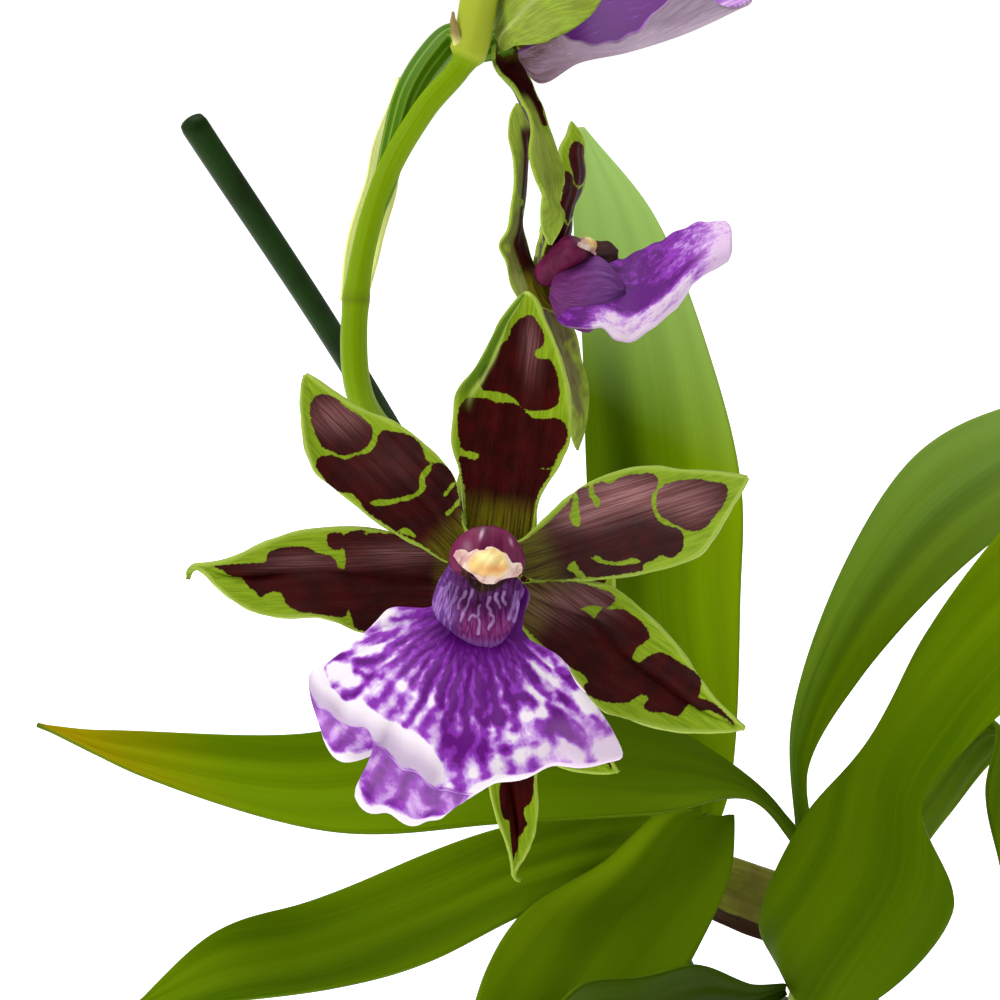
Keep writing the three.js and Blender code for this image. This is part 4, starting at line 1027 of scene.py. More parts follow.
# ------------------------------------------------------------------ materials
def tepal_look():
    look = Look("tepal", 0.36, 0.05)
    fine = look.noise(look.flow(1.0, 1.0), 2.2, 3)
    warp = look.sway(fine, 0.5)
    inside = look.step(look.math("ADD", look.mark("depth"), warp), -0.08, 0.08)
    veins = look.noise(look.flow(3.2, 0.22), 1.0, 4, 0.6)
    clouds = look.noise(look.flow(0.35, 0.35), 1.0, 2)
    green = look.mix((veins, 0.35, 0.7), colour("tepal"), srgb(118, 148, 14))
    green = look.mix((look.mark("margin"), 0.0, 0.6), srgb(164, 188, 70), green)
    maroon = look.mix((clouds, 0.3, 0.7), srgb(44, 2, 0), colour("blotch"))
    maroon = look.mix((veins, 0.5, 0.85, 0, 0.3), maroon, srgb(88, 22, 14))
    olive = look.mix((veins, 0.3, 0.75), srgb(104, 100, 4), srgb(80, 60, 4))
    fade = look.math("ADD", look.mark("olive"), look.sway(veins, 0.5))
    maroon = look.mix((fade, 0.1, 0.9), maroon, olive)
    lines = look.noise(look.flow(5.5, 0.09), 1.0, 3, 0.6)
    lined = look.math("MULTIPLY", look.mark("lined"), look.step(lines, 0.48, 0.62))
    maroon = look.mix(lined, maroon, srgb(36, 2, 4))
    # Painted sheen: a greyish-pink painted highlight laid over the maroon wherever the sheen mark lies.
    painted_sheen = look.mix((lines, 0.35, 0.65), srgb(190, 138, 138), srgb(128, 76, 76))
    maroon = look.coat(maroon, sheen=painted_sheen)
    face = look.mix(inside, green, maroon)
    # The dorsal's folded margin in painted shade, and a painted highlight on its crest.
    face = look.coat(face, fold=srgb(66, 106, 14), crest=srgb(190, 210, 104))
    behind = look.mix((veins, 0.35, 0.65), srgb(158, 184, 66), srgb(138, 160, 50))
    stain = look.math("MULTIPLY", look.step(clouds, 0.4, 0.75, 0, 0.5), look.mark("bruise"))
    behind = look.mix(stain, behind, srgb(118, 108, 50))
    behind = look.coat(behind, midvein=srgb(206, 222, 140))
    shade = look.step(look.mark("depth"), -0.3, 1.2, 0, 0.5)
    behind = look.mix(look.math("MULTIPLY", shade, look.mark("bruise")), behind, srgb(96, 62, 70))
    colour_out = look.mix(look.mark("back"), face, behind)
    ripple = look.noise(look.flow(5.0, 0.5), 1.0, 3, 0.6)
    pores = look.noise(look.flow(9.0, 7.0), 1.0, 2)
    relief = look.math("ADD", ripple, look.math("MULTIPLY", pores, 0.35))
    rough = look.step(pores, 0.3, 0.7, 0.3, 0.5)
    look.wear(Specular_IOR_Level=look.mark("gloss"))
    return look.wear(Base_Color=colour_out, Normal=look.bump(relief, 0.22, 0.8), Roughness=rough)


def lip_look():
    look = Look("lip", 0.55, 0.2)
    streaks = look.noise(look.flow(9.0, 0.26), 1.0, 3, 0.6)
    specks = look.noise(look.flow(18.0, 1.0), 1.0, 3, 0.5)
    slow = look.noise(look.flow(3.0, 0.3), 1.0, 2)
    turn = look.mark("across", 46.0)
    ray = look.math("ADD", turn, look.math("MULTIPLY", slow, 9.0))
    rays = look.math("MULTIPLY", look.math("SINE", ray), look.mark("ray"))
    level = look.sway(streaks, 1.5)
    level = look.math("ADD", level, look.sway(specks, 0.7))
    level = look.math("ADD", look.math("ADD", level, look.mark("violet")), rays)
    pale = look.mix(look.mark("pink"), colour("lip_pale"), srgb(232, 206, 232))
    # Painted shade near the crease where the lip rolls under, greying the white.
    pale = look.coat(pale, dusk=srgb(202, 182, 200))
    tint = look.mix((level, 0.1, 0.5), pale, srgb(196, 148, 220))
    violet = look.mix((level, 0.42, 0.8), tint, srgb(138, 44, 174))
    deep = look.mix((level, 0.8, 1.2), violet, colour("lip"))
    softened = look.mix(look.mark("pink", 0.45), deep, srgb(196, 140, 208))
    # More painted shade near the crease, deepening the violet.
    softened = look.mix(look.mark("dusk", 0.4), softened, srgb(110, 60, 150))
    outer = look.mix((look.mark("out"), 3.0, 17.0), srgb(84, 54, 60), srgb(166, 146, 164))
    behind = look.mix((streaks, 0.35, 0.65, 0, 0.6), outer, srgb(134, 108, 134))
    behind = look.mix((specks, 0.6, 0.8, 0, 0.5), behind, srgb(212, 198, 208))
    face = look.mix(look.mark("back"), softened, behind)
    relief = look.noise(look.flow(14.0, 0.8), 1.0, 3, 0.6)
    return look.wear(Base_Color=face, Normal=look.bump(relief, 0.22, 0.6))


def callus_look():
    look = Look("callus", 0.45, 0.2)
    fine = look.noise(look.flow(34.0, 3.0), 1.0, 3, 0.65)
    blots = look.noise(look.flow(8.0, 5.0), 1.0, 2)
    violet = look.mix((fine, 0.35, 0.65), srgb(92, 22, 96), srgb(130, 62, 144))
    violet = look.mix((blots, 0.35, 0.7, 0, 0.6), violet, srgb(70, 8, 66))
    flange = look.mix((fine, 0.35, 0.65), srgb(158, 106, 186), srgb(104, 40, 138))
    flange = look.mix((blots, 0.35, 0.65, 0, 0.7), flange, srgb(96, 36, 128))
    face = look.mix(look.mark("flange"), violet, flange)
    floor = look.mix((fine, 0.4, 0.62), srgb(106, 18, 90), srgb(146, 56, 134))
    face = look.coat(face, floor=floor)
    frayed = look.sway(fine, 0.22)
    rib = look.step(look.math("ADD", look.mark("line"), frayed), 0.04, 0.16, 0.8, 0)
    face = look.mix(rib, face, srgb(196, 150, 212))
    streak = look.step(look.math("ADD", look.mark("streak"), frayed), 0.02, 0.2, 0.65, 0)
    face = look.mix(streak, face, srgb(184, 140, 216))
    claw = look.mix((fine, 0.35, 0.65), srgb(120, 60, 146), srgb(166, 112, 190))
    face = look.coat(face, foot=claw)
    # Painted shade: the dark slit and the shadow under the column, hatched.
    slit = look.mix((fine, 0.4, 0.6), srgb(30, 12, 14), srgb(84, 44, 34))
    face = look.coat(face, slit=slit)
    return look.wear(Base_Color=face, Normal=look.bump(fine, 0.35, 0.9))


def column_look():
    look = Look("column", 0.42, 0.14)
    clouds = look.noise(look.place(), 260, 3)
    veins = look.noise(look.flow(7.0, 0.12), 1.0, 3, 0.6)
    plum = look.mix((clouds, 0.35, 0.65), colour("column"), srgb(84, 14, 52))
    plum = look.mix((veins, 0.45, 0.75, 0, 0.6), plum, srgb(132, 50, 84))
    # The pale mark holds the hood's painted glints.
    face = look.mix(look.mark("pale"), plum, srgb(222, 184, 206))
    # Painted shade in the hollow under the anther cap, hatched.
    hatch = look.noise(look.flow(44.0, 0.5), 1.0, 2)
    under = look.mix((hatch, 0.42, 0.58), srgb(32, 10, 12), srgb(92, 54, 44))
    face = look.mix((look.mark("under"), 0.3, 0.7), face, under)
    return look.wear(Base_Color=face, Normal=look.bump(clouds, 0.2, 0.3))


def anther_look():
    look = Look("anther", 0.5, 0.3)
    clouds = look.noise(look.place(), 520, 3)
    cream = look.mix((clouds, 0.35, 0.65), colour("anther"), srgb(238, 200, 118))
    # The light mark is a painted highlight on the top of the dome.
    cream = look.coat(cream, light=srgb(252, 240, 172), warm=srgb(224, 150, 84))
    rim = look.mix((clouds, 0.4, 0.6), srgb(240, 216, 200), srgb(206, 158, 152))
    face = look.mix(look.mark("rim"), cream, rim)
    return look.wear(Base_Color=face, Normal=look.bump(clouds, 0.5, 0.8))


def leaf_look():
    look = Look("leaf", 0.5, 0.04)
    look.wear(Specular_Tint=(0.75, 1.0, 0.1, 1.0))
    bands = look.noise(look.flow(0.11, 0.004), 1.0, 1)
    veins = look.noise(look.flow(0.8, 0.012), 1.0, 2, 0.5)
    clouds = look.noise(look.flow(0.03, 0.02), 1.0, 2)
    deep = look.mix((clouds, 0.3, 0.7), colour("leaf_dark"), srgb(66, 96, 0))
    green = look.mix((bands, 0.15, 0.85), deep, colour("leaf"))
    green = look.mix((veins, 0.45, 0.8, 0, 0.2), green, srgb(116, 142, 4))
    # Painted light and shade: glow brightens, shade darkens and light hazes the green; ochre is its own
    # yellowing.
    green = look.coat(
        green, glow=srgb(138, 168, 6), shade=srgb(26, 44, 0), light=srgb(156, 190, 106),
        ochre=srgb(160, 140, 0),
    )
    behind = look.mix((veins, 0.3, 0.7), srgb(96, 122, 22), srgb(80, 106, 14))
    face = look.mix(look.mark("back"), green, behind)
    return look.wear(Base_Color=face, Normal=look.bump(veins, 0.5, 0.3))


def stem_look(name, main, pale, marks):
    look = Look(name, 0.42, 0.07)
    streaks = look.noise(look.flow(1.2, 0.03), 1.0, 3, 0.6)
    freckles = look.noise(look.place(), 1500, 2)
    face = look.mix((streaks, 0.3, 0.7), main, tuple(0.8 * c for c in main))
    face = look.coat(face, pale=pale, scar=marks)
    return look.wear(Base_Color=face, Normal=look.bump(freckles, 0.08, 0.5))


def bulb_look():
    look = Look("bulb", 0.5, 0.12)
    streaks = look.noise(look.flow(1.3, 0.05), 1.0, 3, 0.6)
    patches = look.noise(look.place(), 120, 3)
    skin = look.mix((streaks, 0.3, 0.8, 0, 0.6), srgb(116, 118, 30), srgb(84, 84, 18))
    skin = look.mix((patches, 0.4, 0.62, 0, 0.7), skin, srgb(94, 84, 30))
    husk = look.mix((streaks, 0.35, 0.65), srgb(58, 34, 14), srgb(34, 18, 6))
    cover = look.math("ADD", look.mark("husk"), look.sway(patches, 0.5))
    face = look.mix((cover, 0.42, 0.58), skin, husk)
    return look.wear(Base_Color=face, Normal=look.bump(streaks, 0.25, 0.8))


def stake_look():
    look = Look("stake", 0.42, 0.08)
    grain = look.noise(look.flow(2.2, 0.05), 1.0, 4, 0.6)
    patches = look.noise(look.place(), 90, 2)
    face = look.mix((patches, 0.35, 0.65), colour("stake"), srgb(24, 52, 6))
    return look.wear(Base_Color=face, Normal=look.bump(grain, 0.25, 0.8))


def pot_look():
    look = Look("pot", 0.5)
    speckle = look.noise(look.place(), 900, 2)
    streaks = look.noise(look.place(), 45, 3)
    face = look.mix((streaks, 0.4, 0.7, 0, 0.35), colour("pot"), srgb(66, 69, 66))
    return look.wear(Base_Color=face, Normal=look.bump(speckle, 0.06, 0.5))


def bark_look():
    look = Look("bark", 0.85)
    grain = look.noise(look.place(), 420, 4, 0.65)
    pieces = look.noise(look.place(), 70, 2)
    face = look.mix((pieces, 0.35, 0.65), colour("bark"), srgb(70, 42, 24))
    face = look.mix((grain, 0.5, 0.8), face, srgb(148, 106, 68))
    return look.wear(Base_Color=face, Normal=look.bump(grain, 0.8, 0.9))


def root_look():
    look = Look("root", 0.7)
    felt = look.noise(look.place(), 500, 3)
    stain = look.noise(look.place(), 60, 2)
    face = look.mix((felt, 0.35, 0.65), srgb(196, 190, 164), srgb(160, 152, 122))
    face = look.mix((stain, 0.5, 0.72), face, srgb(112, 90, 60))
    return look.wear(Base_Color=face, Normal=look.bump(felt, 0.3, 0.7))


LOOKS = {}


def look_for(name):
    """Each material is made once, when the first piece asks for it."""
    makers = {
        "tepal": tepal_look, "lip": lip_look, "callus": callus_look, "column": column_look,
        "anther": anther_look, "leaf": leaf_look, "bulb": bulb_look, "stake": stake_look,
        "pot": pot_look, "bark": bark_look, "root": root_look,
        "spike": lambda: stem_look("spike", colour("stem"), srgb(166, 176, 52), srgb(84, 84, 10)),
        "pedicel": lambda: stem_look("pedicel", srgb(74, 118, 4), srgb(164, 188, 76), srgb(60, 84, 10)),
        "bract": lambda: stem_look("bract", srgb(242, 250, 150), srgb(250, 252, 190), srgb(150, 128, 78)),
        "shoot": lambda: stem_look("shoot", srgb(110, 146, 38), srgb(170, 178, 96), srgb(96, 70, 36)),
    }
    if name not in LOOKS:
        LOOKS[name] = makers[name]()
    return LOOKS[name]


# ------------------------------------------------------------------ plant tables, in millimetres
# Shade, glow and light paint shade and light on a leaf; its patches paint shade, or light where negative.
LEAVES = {
    "leaf_tall_back": {
        "left": [(-29, 14, 183), (-33, 21, 195), (-54, 44, 230), (-57, 66, 269), (-58, 86, 302),
                 (-60, 103, 331), (-59, 114, 351)],
        "right": [(-27, 15, 184), (-21, 22, 198), (-17, 48, 240), (-16, 64, 264), (-23, 83, 294),
                  (-38, 102, 329), (-57, 114, 351)],
        "fold": 5, "wave": 0.8, "light": (-0.45, 0.75, 0.12), "ochre": (0, 0, 0),
        "shade": (-0.12, -0.15, -0.45),
        "patches": [(-0.6, 0.62, 0.3, 0.09, 0.5), (-0.4, 0.5, 0.4, 0.1, 0.6),
                    (-0.45, 0.34, 0.4, 0.14, 0.5)],
    },
    "leaf_left": {
        "left": [(-1, 12, 188), (-16, 12, 206), (-44, 3, 230), (-80, -12, 246), (-124, -30, 244),
                 (-163, -39, 250), (-177, -43.1, 253.6)],
        "right": [(-4, 12, 186), (-17, 7, 204), (-45, -20, 217), (-80, -37, 226), (-116, -50, 232),
                  (-153, -49, 245), (-177, -43, 254)],
        "fold": 5, "wave": 1, "ochre": (-0.3, 1, 0), "shade": (0.4, -0.25, -0.15),
    },
    "leaf_low_left": {
        "left": [(-31, 10, 185), (-43, 9, 202), (-72, -8, 208), (-98, -23, 208), (-124, -39, 206),
                 (-142, -53, 208), (-156, -69, 202)],
        "right": [(-30, 8, 182), (-46, -8, 191), (-71, -28, 197), (-95, -49, 199), (-116, -61, 200),
                  (-136, -68, 203), (-156, -70, 201)],
        "fold": 4, "wave": 0.8, "shade": (-0.3, 0.04, 0.08),
    },
    "leaf_front": {
        "left": [(-27, 6, 186), (-37, 3, 205), (-56, -17, 202), (-75, -33, 199), (-83, -48, 195),
                 (-88, -66, 188), (-92, -83, 182)],
        "right": [(-25, 6, 185), (-22, 5, 201), (-24, -7, 194), (-32, -25, 187), (-45, -45, 182),
                  (-65, -65, 179), (-91, -84, 182)],
        "fold": 5, "wave": 1, "shade": (0.2, 0.2, 0.15),
        "patches": [(-0.8, 0.3, 0.3, 0.3, -0.9)],
    },
    "leaf_low_front": {
        "left": [(-9, -9, 161), (-18, -17, 167), (-34, -33, 185), (-49, -49, 194), (-63, -61, 201),
                 (-72, -74, 201), (-79, -86, 199)],
        "right": [(-9, -11, 159), (-17, -22, 162), (-31, -45, 171), (-46, -63, 176), (-60, -75, 183),
                  (-71, -84, 190), (-78, -87, 199)],
        "fold": 4, "wave": 0.8, "shade": (0.85, 0.6, 0.1),
    },
    "leaf_right_high": {
        "left": [(-4, 16, 187), (-5, 27, 216), (8, 47, 246), (30, 66, 273), (55, 78, 282), (79, 87, 283),
                 (108, 96, 279)],
        "right": [(0, 16, 187), (-1, 21, 206), (12, 31, 225), (36, 44, 247), (62, 59, 262), (85, 76, 271),
                  (108, 94, 277)],
        "fold": 4, "wave": 1, "shade": (0.15, 0.0, 0.05), "light": (0.02, 0.34, -0.06),
    },
    "leaf_right_broad": {
        "left": [(-8, -9, 160), (-16, -8, 178), (-7, -4, 205), (9, 1, 225), (22, 10, 248), (44, 25, 272),
                 (67, 40, 283), (83, 51, 284)],
        "right": [(-4, -12, 157), (9, -22, 166), (27, -20, 191), (19.5, -12, 215), (32.5, -5, 229),
                  (56, 7, 246), (72, 28, 265), (84, 49, 283)],
        "fold": 5, "wave": 1.6, "waves": 4, "shade": (0.34, -0.2, -0.12), "ochre": (0, 0.45, 0),
    },
    "leaf_right_drooping": {
        "left": [(-5, -5, 159), (10, 12, 177), (25, 25, 199), (39, 32, 217), (46, 25, 216), (42, 12, 204),
                 (44, -1, 189)],
        "right": [(-3, -6, 157), (17, 9, 171), (36, 21, 191), (53, 30, 206), (64, 26, 208), (61, 12, 198),
                  (46, -1, 188)],
        "fold": 3, "wave": 0.8, "shade": (0.1, 0.1, 0),
    },
}
BRACT = {
    "left": [(-103.6, -111, 364), (-102.8, -105, 372), (-100.7, -100, 378), (-98.9, -97, 385),
             (-95, -96, 394)],
    "right": [(-100, -110, 363), (-98, -103, 370), (-96, -96, 377), (-95, -94, 385), (-95, -94, 394)],
    "fold": -1.5, "wave": 0.2,
}
SHEATH_TIP = {
    "left": [(-86.2, -103.1, 398.9), (-86.9, -104.7, 401), (-87.1, -104, 402.8), (-86.9, -103.3, 404.5)],
    "right": [(-85.6, -103.1, 398.9), (-85.7, -104.7, 401), (-86.1, -104, 402.8), (-86.7, -103.3, 404.5)],
    "fold": 0.2, "wave": 0.1,
}
SPIKE = [
    (16, 17, 84), (6, 25, 126), (-1, 31, 150), (-15, 31, 162), (-29, 28, 175), (-39, 23, 195),
    (-46, 15, 218), (-58, -5, 252), (-73, -37, 286), (-86, -77, 316), (-95, -105, 337), (-101, -115, 351),
    (-101, -113, 366), (-97, -107, 381), (-91, -105, 391), (-85, -103, 398), (-83, -102, 406),
    (-82, -103, 411),
]
SPIKE_RADII = [
    (0, 2.9), (0.2, 2.7), (0.5, 2.4), (0.7, 2.2), (0.86, 2.0), (0.89, 1.72), (0.966, 1.7), (0.969, 2.7),
    (0.99, 2.75), (0.997, 2.4), (1, 1.4),
]
SPIKE_NODES, SHEATH_FOOT = (0.3, 0.43, 0.56, 0.69, 0.79, 0.8745), 0.9685
STAKE = [(-133, -63, 383), (-105, -37, 323), (-31, 33, 140), (-16, 40, 97), (-10, 37, 25)]
RHIZOME = [(24, 14, 84), (19, 13, 104), (14, 12, 124), (8, 15, 146)]
ROOTS = [
    [(18, 12, 106), (31, 4, 107), (40, -8, 99), (40, -16, 86)],
    [(16, 12, 116), (28, 26, 118), (33, 34, 104), (30, 38, 88)],
    [(14, 12, 122), (-4, 6, 120), (-14, -6, 106), (-16, -14, 86)],
    [(17, 12, 110), (22, -6, 114), (18, -24, 104), (12, -30, 86)],
]
OLD_BULB = [(5, 16, 152), (-2, 15, 163), (-16, 13, 171), (-30, 12, 178), (-38, 11, 183)]
TALL_BULB = [(14, 12, 122), (8, 12, 146), (3, 14, 168), (-2, 14, 186)]
NEW_SHOOT = [(14, 6, 84), (8, 3, 116), (-1, -3, 144), (-6, -7, 157)]
POT_PROFILE = [
    (0, 0), (38.5, 0), (40.2, 0.4), (41, 1.6), (54.2, 92.6), (57.4, 93), (58.2, 93.8), (58.2, 103.8),
    (57.6, 104.8), (56.6, 105), (54.6, 105), (54.1, 104.4), (39.8, 4), (38.6, 3), (0, 3),
]
DRAIN_RING, DRAIN_RADIUS, DRAIN_COUNT = 24, 4, 5
# The bark's level, its rise to the middle, its floor, and its radius above and below.
BARK_LEVEL, BARK_DOME, BARK_FLOOR, BARK_RADIUS, BARK_FOOT = 96, 2.5, 3.3, 52.3, 38.5
# The chips' draw, how far out they lie, and their length, width and height as shares of a size.
CHIP_SEED, CHIP_SPREAD, CHIP_SHAPE = 11, 46, ((0.6, 1.3), (0.4, 0.8), (0.15, 0.35))
# The thickness of each thin sheet that has no size of its own in the panel.
BRACT_THICKNESS, CALLUS_THICKNESS, FLANGE_THICKNESS = 0.4, 0.5, 0.6
# The points across and along a lip and its callus, on the bloom in front and on the others.
LIP_GRIDS = {"near": ((110, 100), (120, 80)), "far": ((64, 60), (50, 36))}
# The stage in metres: the floor's half size, its white and glow, and the light of the studio.
FLOOR_SIZE, FLOOR_WHITE, FLOOR_GLOW, STUDIO_LIGHT = 9, (0.92, 0.92, 0.92, 1), 0.9, 0.25
# Each lamp's place, the spot it aims at, its width and its power in watts.
LAMPS = {
    "softbox_above": ((-0.25, 0.25, 1.5), (-0.08, 0, 0.25), 1.1, 15),
    "softbox_left": ((-1.3, -0.9, 1.0), (-0.08, -0.1, 0.3), 0.9, 12),
    "softbox_right": ((1.2, -0.5, 0.9), (-0.05, -0.05, 0.3), 0.7, 4),
}
# The camera's place, its tilt from straight down in degrees, and its lens and sensor in mm.
CAMERA_SPOT, CAMERA_TILT, CAMERA_LENS, CAMERA_SENSOR = (-0.080, -0.356, 0.431), 68, 61.2, 36


def blade_place(form):
    """A leaf between its two edges, with a folded midrib, pleats and waving margins."""
    def place(s, t):
        left, right = smooth_path(form["left"], t), smooth_path(form["right"], t)
        ahead, behind = np.minimum(t + 0.01, 1), np.maximum(t - 0.01, 0)
        edges = form["left"], form["right"]
        run = sum(smooth_path(edge, ahead) - smooth_path(edge, behind) for edge in edges)
        normal = np.cross(right - left, run)
        normal /= np.maximum(np.linalg.norm(normal, axis=1), 1e-9)[:, None]
        width = np.linalg.norm(right - left, axis=1)
        knots = np.linspace(0, 1, len(form["left"]))
        gaps = smooth_path(form["right"], knots) - smooth_path(form["left"], knots)
        widest = np.linalg.norm(gaps, axis=1).max()
        share = width / widest
        phase = np.where(s > 0, 1.3, 0) * np.abs(s)
        ripple = form["wave"] * share * s**2 * np.sin(2 * np.pi * form.get("waves", 3) * t + phase)
        pleats = 0.012 * width * np.cos(3.5 * np.pi * s) * (1 - s**4)
        depth = form["fold"] * share * (1 - np.abs(s) ** 1.4) - ripple + pleats
        return left + (right - left) * ((s + 1) / 2)[:, None] + normal * depth[:, None]
    return place


def mark_leaf(piece, form):
    """Gives a leaf's points their place on it, where painted light, painted shade and a painted brighter
    glow lie, and where it is yellowed.
    """
    s, t = read_mark(piece, "s"), read_mark(piece, "t")
    left, right = smooth_path(form["left"], t), smooth_path(form["right"], t)
    middle = smooth_path((np.array(form["left"]) + np.array(form["right"])) / 2, np.linspace(0, 1, 400))
    length = np.linalg.norm(np.diff(middle, axis=0), axis=1).sum()

    def fade(mark, low, high):
        """A mark that runs from its base's value to its tip's, and leans to one side."""
        base, tip, side = form.get(mark, (0, 0, 0))
        return base + (tip - base) * smoothstep(t, low, high) + side * s

    shade = fade("shade", 0.3, 0.8)
    for *patch, weight in form.get("patches", ()):
        shade = shade + weight * soft_spot(s, t, *patch)
    write_marks(
        piece, across=s * np.linalg.norm(right - left, axis=1) / 2, out=t * length,
        grain=sum(piece.name.encode()) * 0.61, light=np.clip(fade("light", 0.25, 0.95), 0, 1),
        shade=np.clip(shade, 0, 1), glow=np.clip(-shade, 0, 1),
        ochre=np.clip(fade("ochre", 0.62, 0.98), 0, 1),
    )


def nowhere(s, t):
    """No mark on any point."""
    return 0 * t


def mark_stem(piece, length, pale=nowhere, scar=nowhere, turns=8):
    """Gives a stem's points their place round and along it, and where it is pale or scarred."""
    s, t = read_mark(piece, "s"), read_mark(piece, "t")
    write_marks(
        piece, across=np.cos(np.pi * s) * turns, out=t * length, grain=np.sin(np.pi * s) * turns,
        pale=pale(s, t), scar=scar(s, t),
    )


def tube_piece(name, points, radii, look, nodes, sides=32, along=60, shape=None, blunt=0.02):
    """A closed stem along a path."""
    def full(angle, t):
        return (shape(angle, t) if shape else 1) * round_ends(t, blunt)
    return rolled_piece(name, (sides, along), tube_place(points, radii, full), look, nodes)


# ------------------------------------------------------------------ operators
class BuildPot(bpy.types.Operator):
    """Turn the pot from its profile and drill its drain holes"""

    bl_idname = "orchid.pot"
    bl_label = "Pot"

    def execute(self, context):
        bm = bmesh.new()
        rim = [bm.verts.new(Vector((radius, 0, height)) * MM) for radius, height in POT_PROFILE]
        edges = [bm.edges.new(pair) for pair in zip(rim, rim[1:])]
        bmesh.ops.spin(
            bm, geom=rim + edges, cent=(0, 0, 0), axis=(0, 0, 1), angle=math.tau, steps=96, use_merge=True
        )
        bmesh.ops.remove_doubles(bm, verts=bm.verts[:], dist=1e-6)
        bmesh.ops.recalc_face_normals(bm, faces=bm.faces[:])
        piece = finish_piece("pot_body", bm, look_for("pot"), ["pot"])
        drills = bmesh.new()
        for i in range(DRAIN_COUNT):
            angle = math.tau * i / DRAIN_COUNT
            made = bmesh.ops.create_cone(
                drills, cap_ends=True, segments=24, radius1=DRAIN_RADIUS * MM, radius2=DRAIN_RADIUS * MM,
                depth=12 * MM,
            )
            centre = Vector((math.cos(angle), math.sin(angle), 0)) * (DRAIN_RING * MM)
            bmesh.ops.translate(drills, verts=made["verts"], vec=centre)
        mesh = bpy.data.meshes.new("drills")
        drills.to_mesh(mesh)
        drills.free()
        cutter = bpy.data.objects.new("drills", mesh)
        context.scene.collection.objects.link(cutter)
        cut = piece.modifiers.new("drain holes", "BOOLEAN")
        cut.object, cut.operation, cut.solver = cutter, "DIFFERENCE", "EXACT"
        context.view_layer.update()
        drilled = bpy.data.meshes.new_from_object(piece.evaluated_get(context.evaluated_depsgraph_get()))
        piece.modifiers.remove(cut)
        piece.data = drilled
        bpy.data.objects.remove(cutter)
        return {"FINISHED"}


class BuildBark(bpy.types.Operator):
    """Fill the pot with potting bark and strew chips over it"""

    bl_idname = "orchid.bark"
    bl_label = "Potting bark"

    def execute(self, context):
        def mound(s, t):
            """The bark's domed, uneven top, then its wall and its floor inside the pot."""
            angle = np.pi * s
            reach = BARK_RADIUS * np.minimum(t * 2, 1)
            lumps = 1.5 * np.sin(reach * np.cos(angle) * 0.7) * np.cos(reach * np.sin(angle) * 0.6)
            height = BARK_LEVEL + BARK_DOME * (1 - reach / BARK_RADIUS) + lumps
            deep = np.maximum(t * 2 - 1, 0)
            wall = BARK_LEVEL + (BARK_FLOOR - BARK_LEVEL) * np.minimum(deep * 2, 1)
            height = np.where(t > 0.5, wall, height)
            rise = (height - BARK_FLOOR) / (BARK_LEVEL - BARK_FLOOR)
            inner = BARK_FOOT + (BARK_RADIUS - BARK_FOOT) * rise
            reach = np.where(t > 0.5, inner * np.minimum((1 - deep) * 2, 1), reach)
            return np.stack([reach * np.cos(angle), reach * np.sin(angle), height], axis=1)

        rolled_piece("bark_bed", (64, 40), mound, "bark", ["potting_bark"])
        dice = np.random.default_rng(CHIP_SEED)
        bm = bmesh.new()
        size = sizes().chip_size
        for _ in range(sizes().chip_count):
            made = bmesh.ops.create_cube(bm, size=1)
            verts = made["verts"]
            edges = list(dict.fromkeys(edge for vertex in verts for edge in vertex.link_edges))
            made = bmesh.ops.bevel(
                bm, geom=edges, offset=0.16, segments=1, profile=0.5, affect="EDGES", material=-1
            )
            verts = list(dict.fromkeys(vertex for face in made["faces"] for vertex in face.verts))
            stretch = [size * dice.uniform(*span) for span in CHIP_SHAPE]
            bmesh.ops.scale(bm, vec=Vector(stretch), verts=verts)
            for vertex in verts:
                vertex.co += Vector(dice.normal(0, 0.06, 3) * size)
            tilt = Euler(dice.normal(0, 0.3, 2).tolist() + [dice.uniform(0, math.tau)]).to_matrix()
            bmesh.ops.rotate(bm, cent=(0, 0, 0), matrix=tilt, verts=verts)
            reach, angle = CHIP_SPREAD * math.sqrt(dice.uniform(0, 1)), dice.uniform(0, math.tau)
            height = BARK_LEVEL + BARK_DOME * (1 - reach / BARK_RADIUS) + dice.uniform(0.2, 2.4)
            spot = Vector((reach * math.cos(angle), reach * math.sin(angle), height)) * MM
            bmesh.ops.translate(bm, verts=verts, vec=spot)
        finish_piece("bark_chips", bm, look_for("bark"))
        return {"FINISHED"}


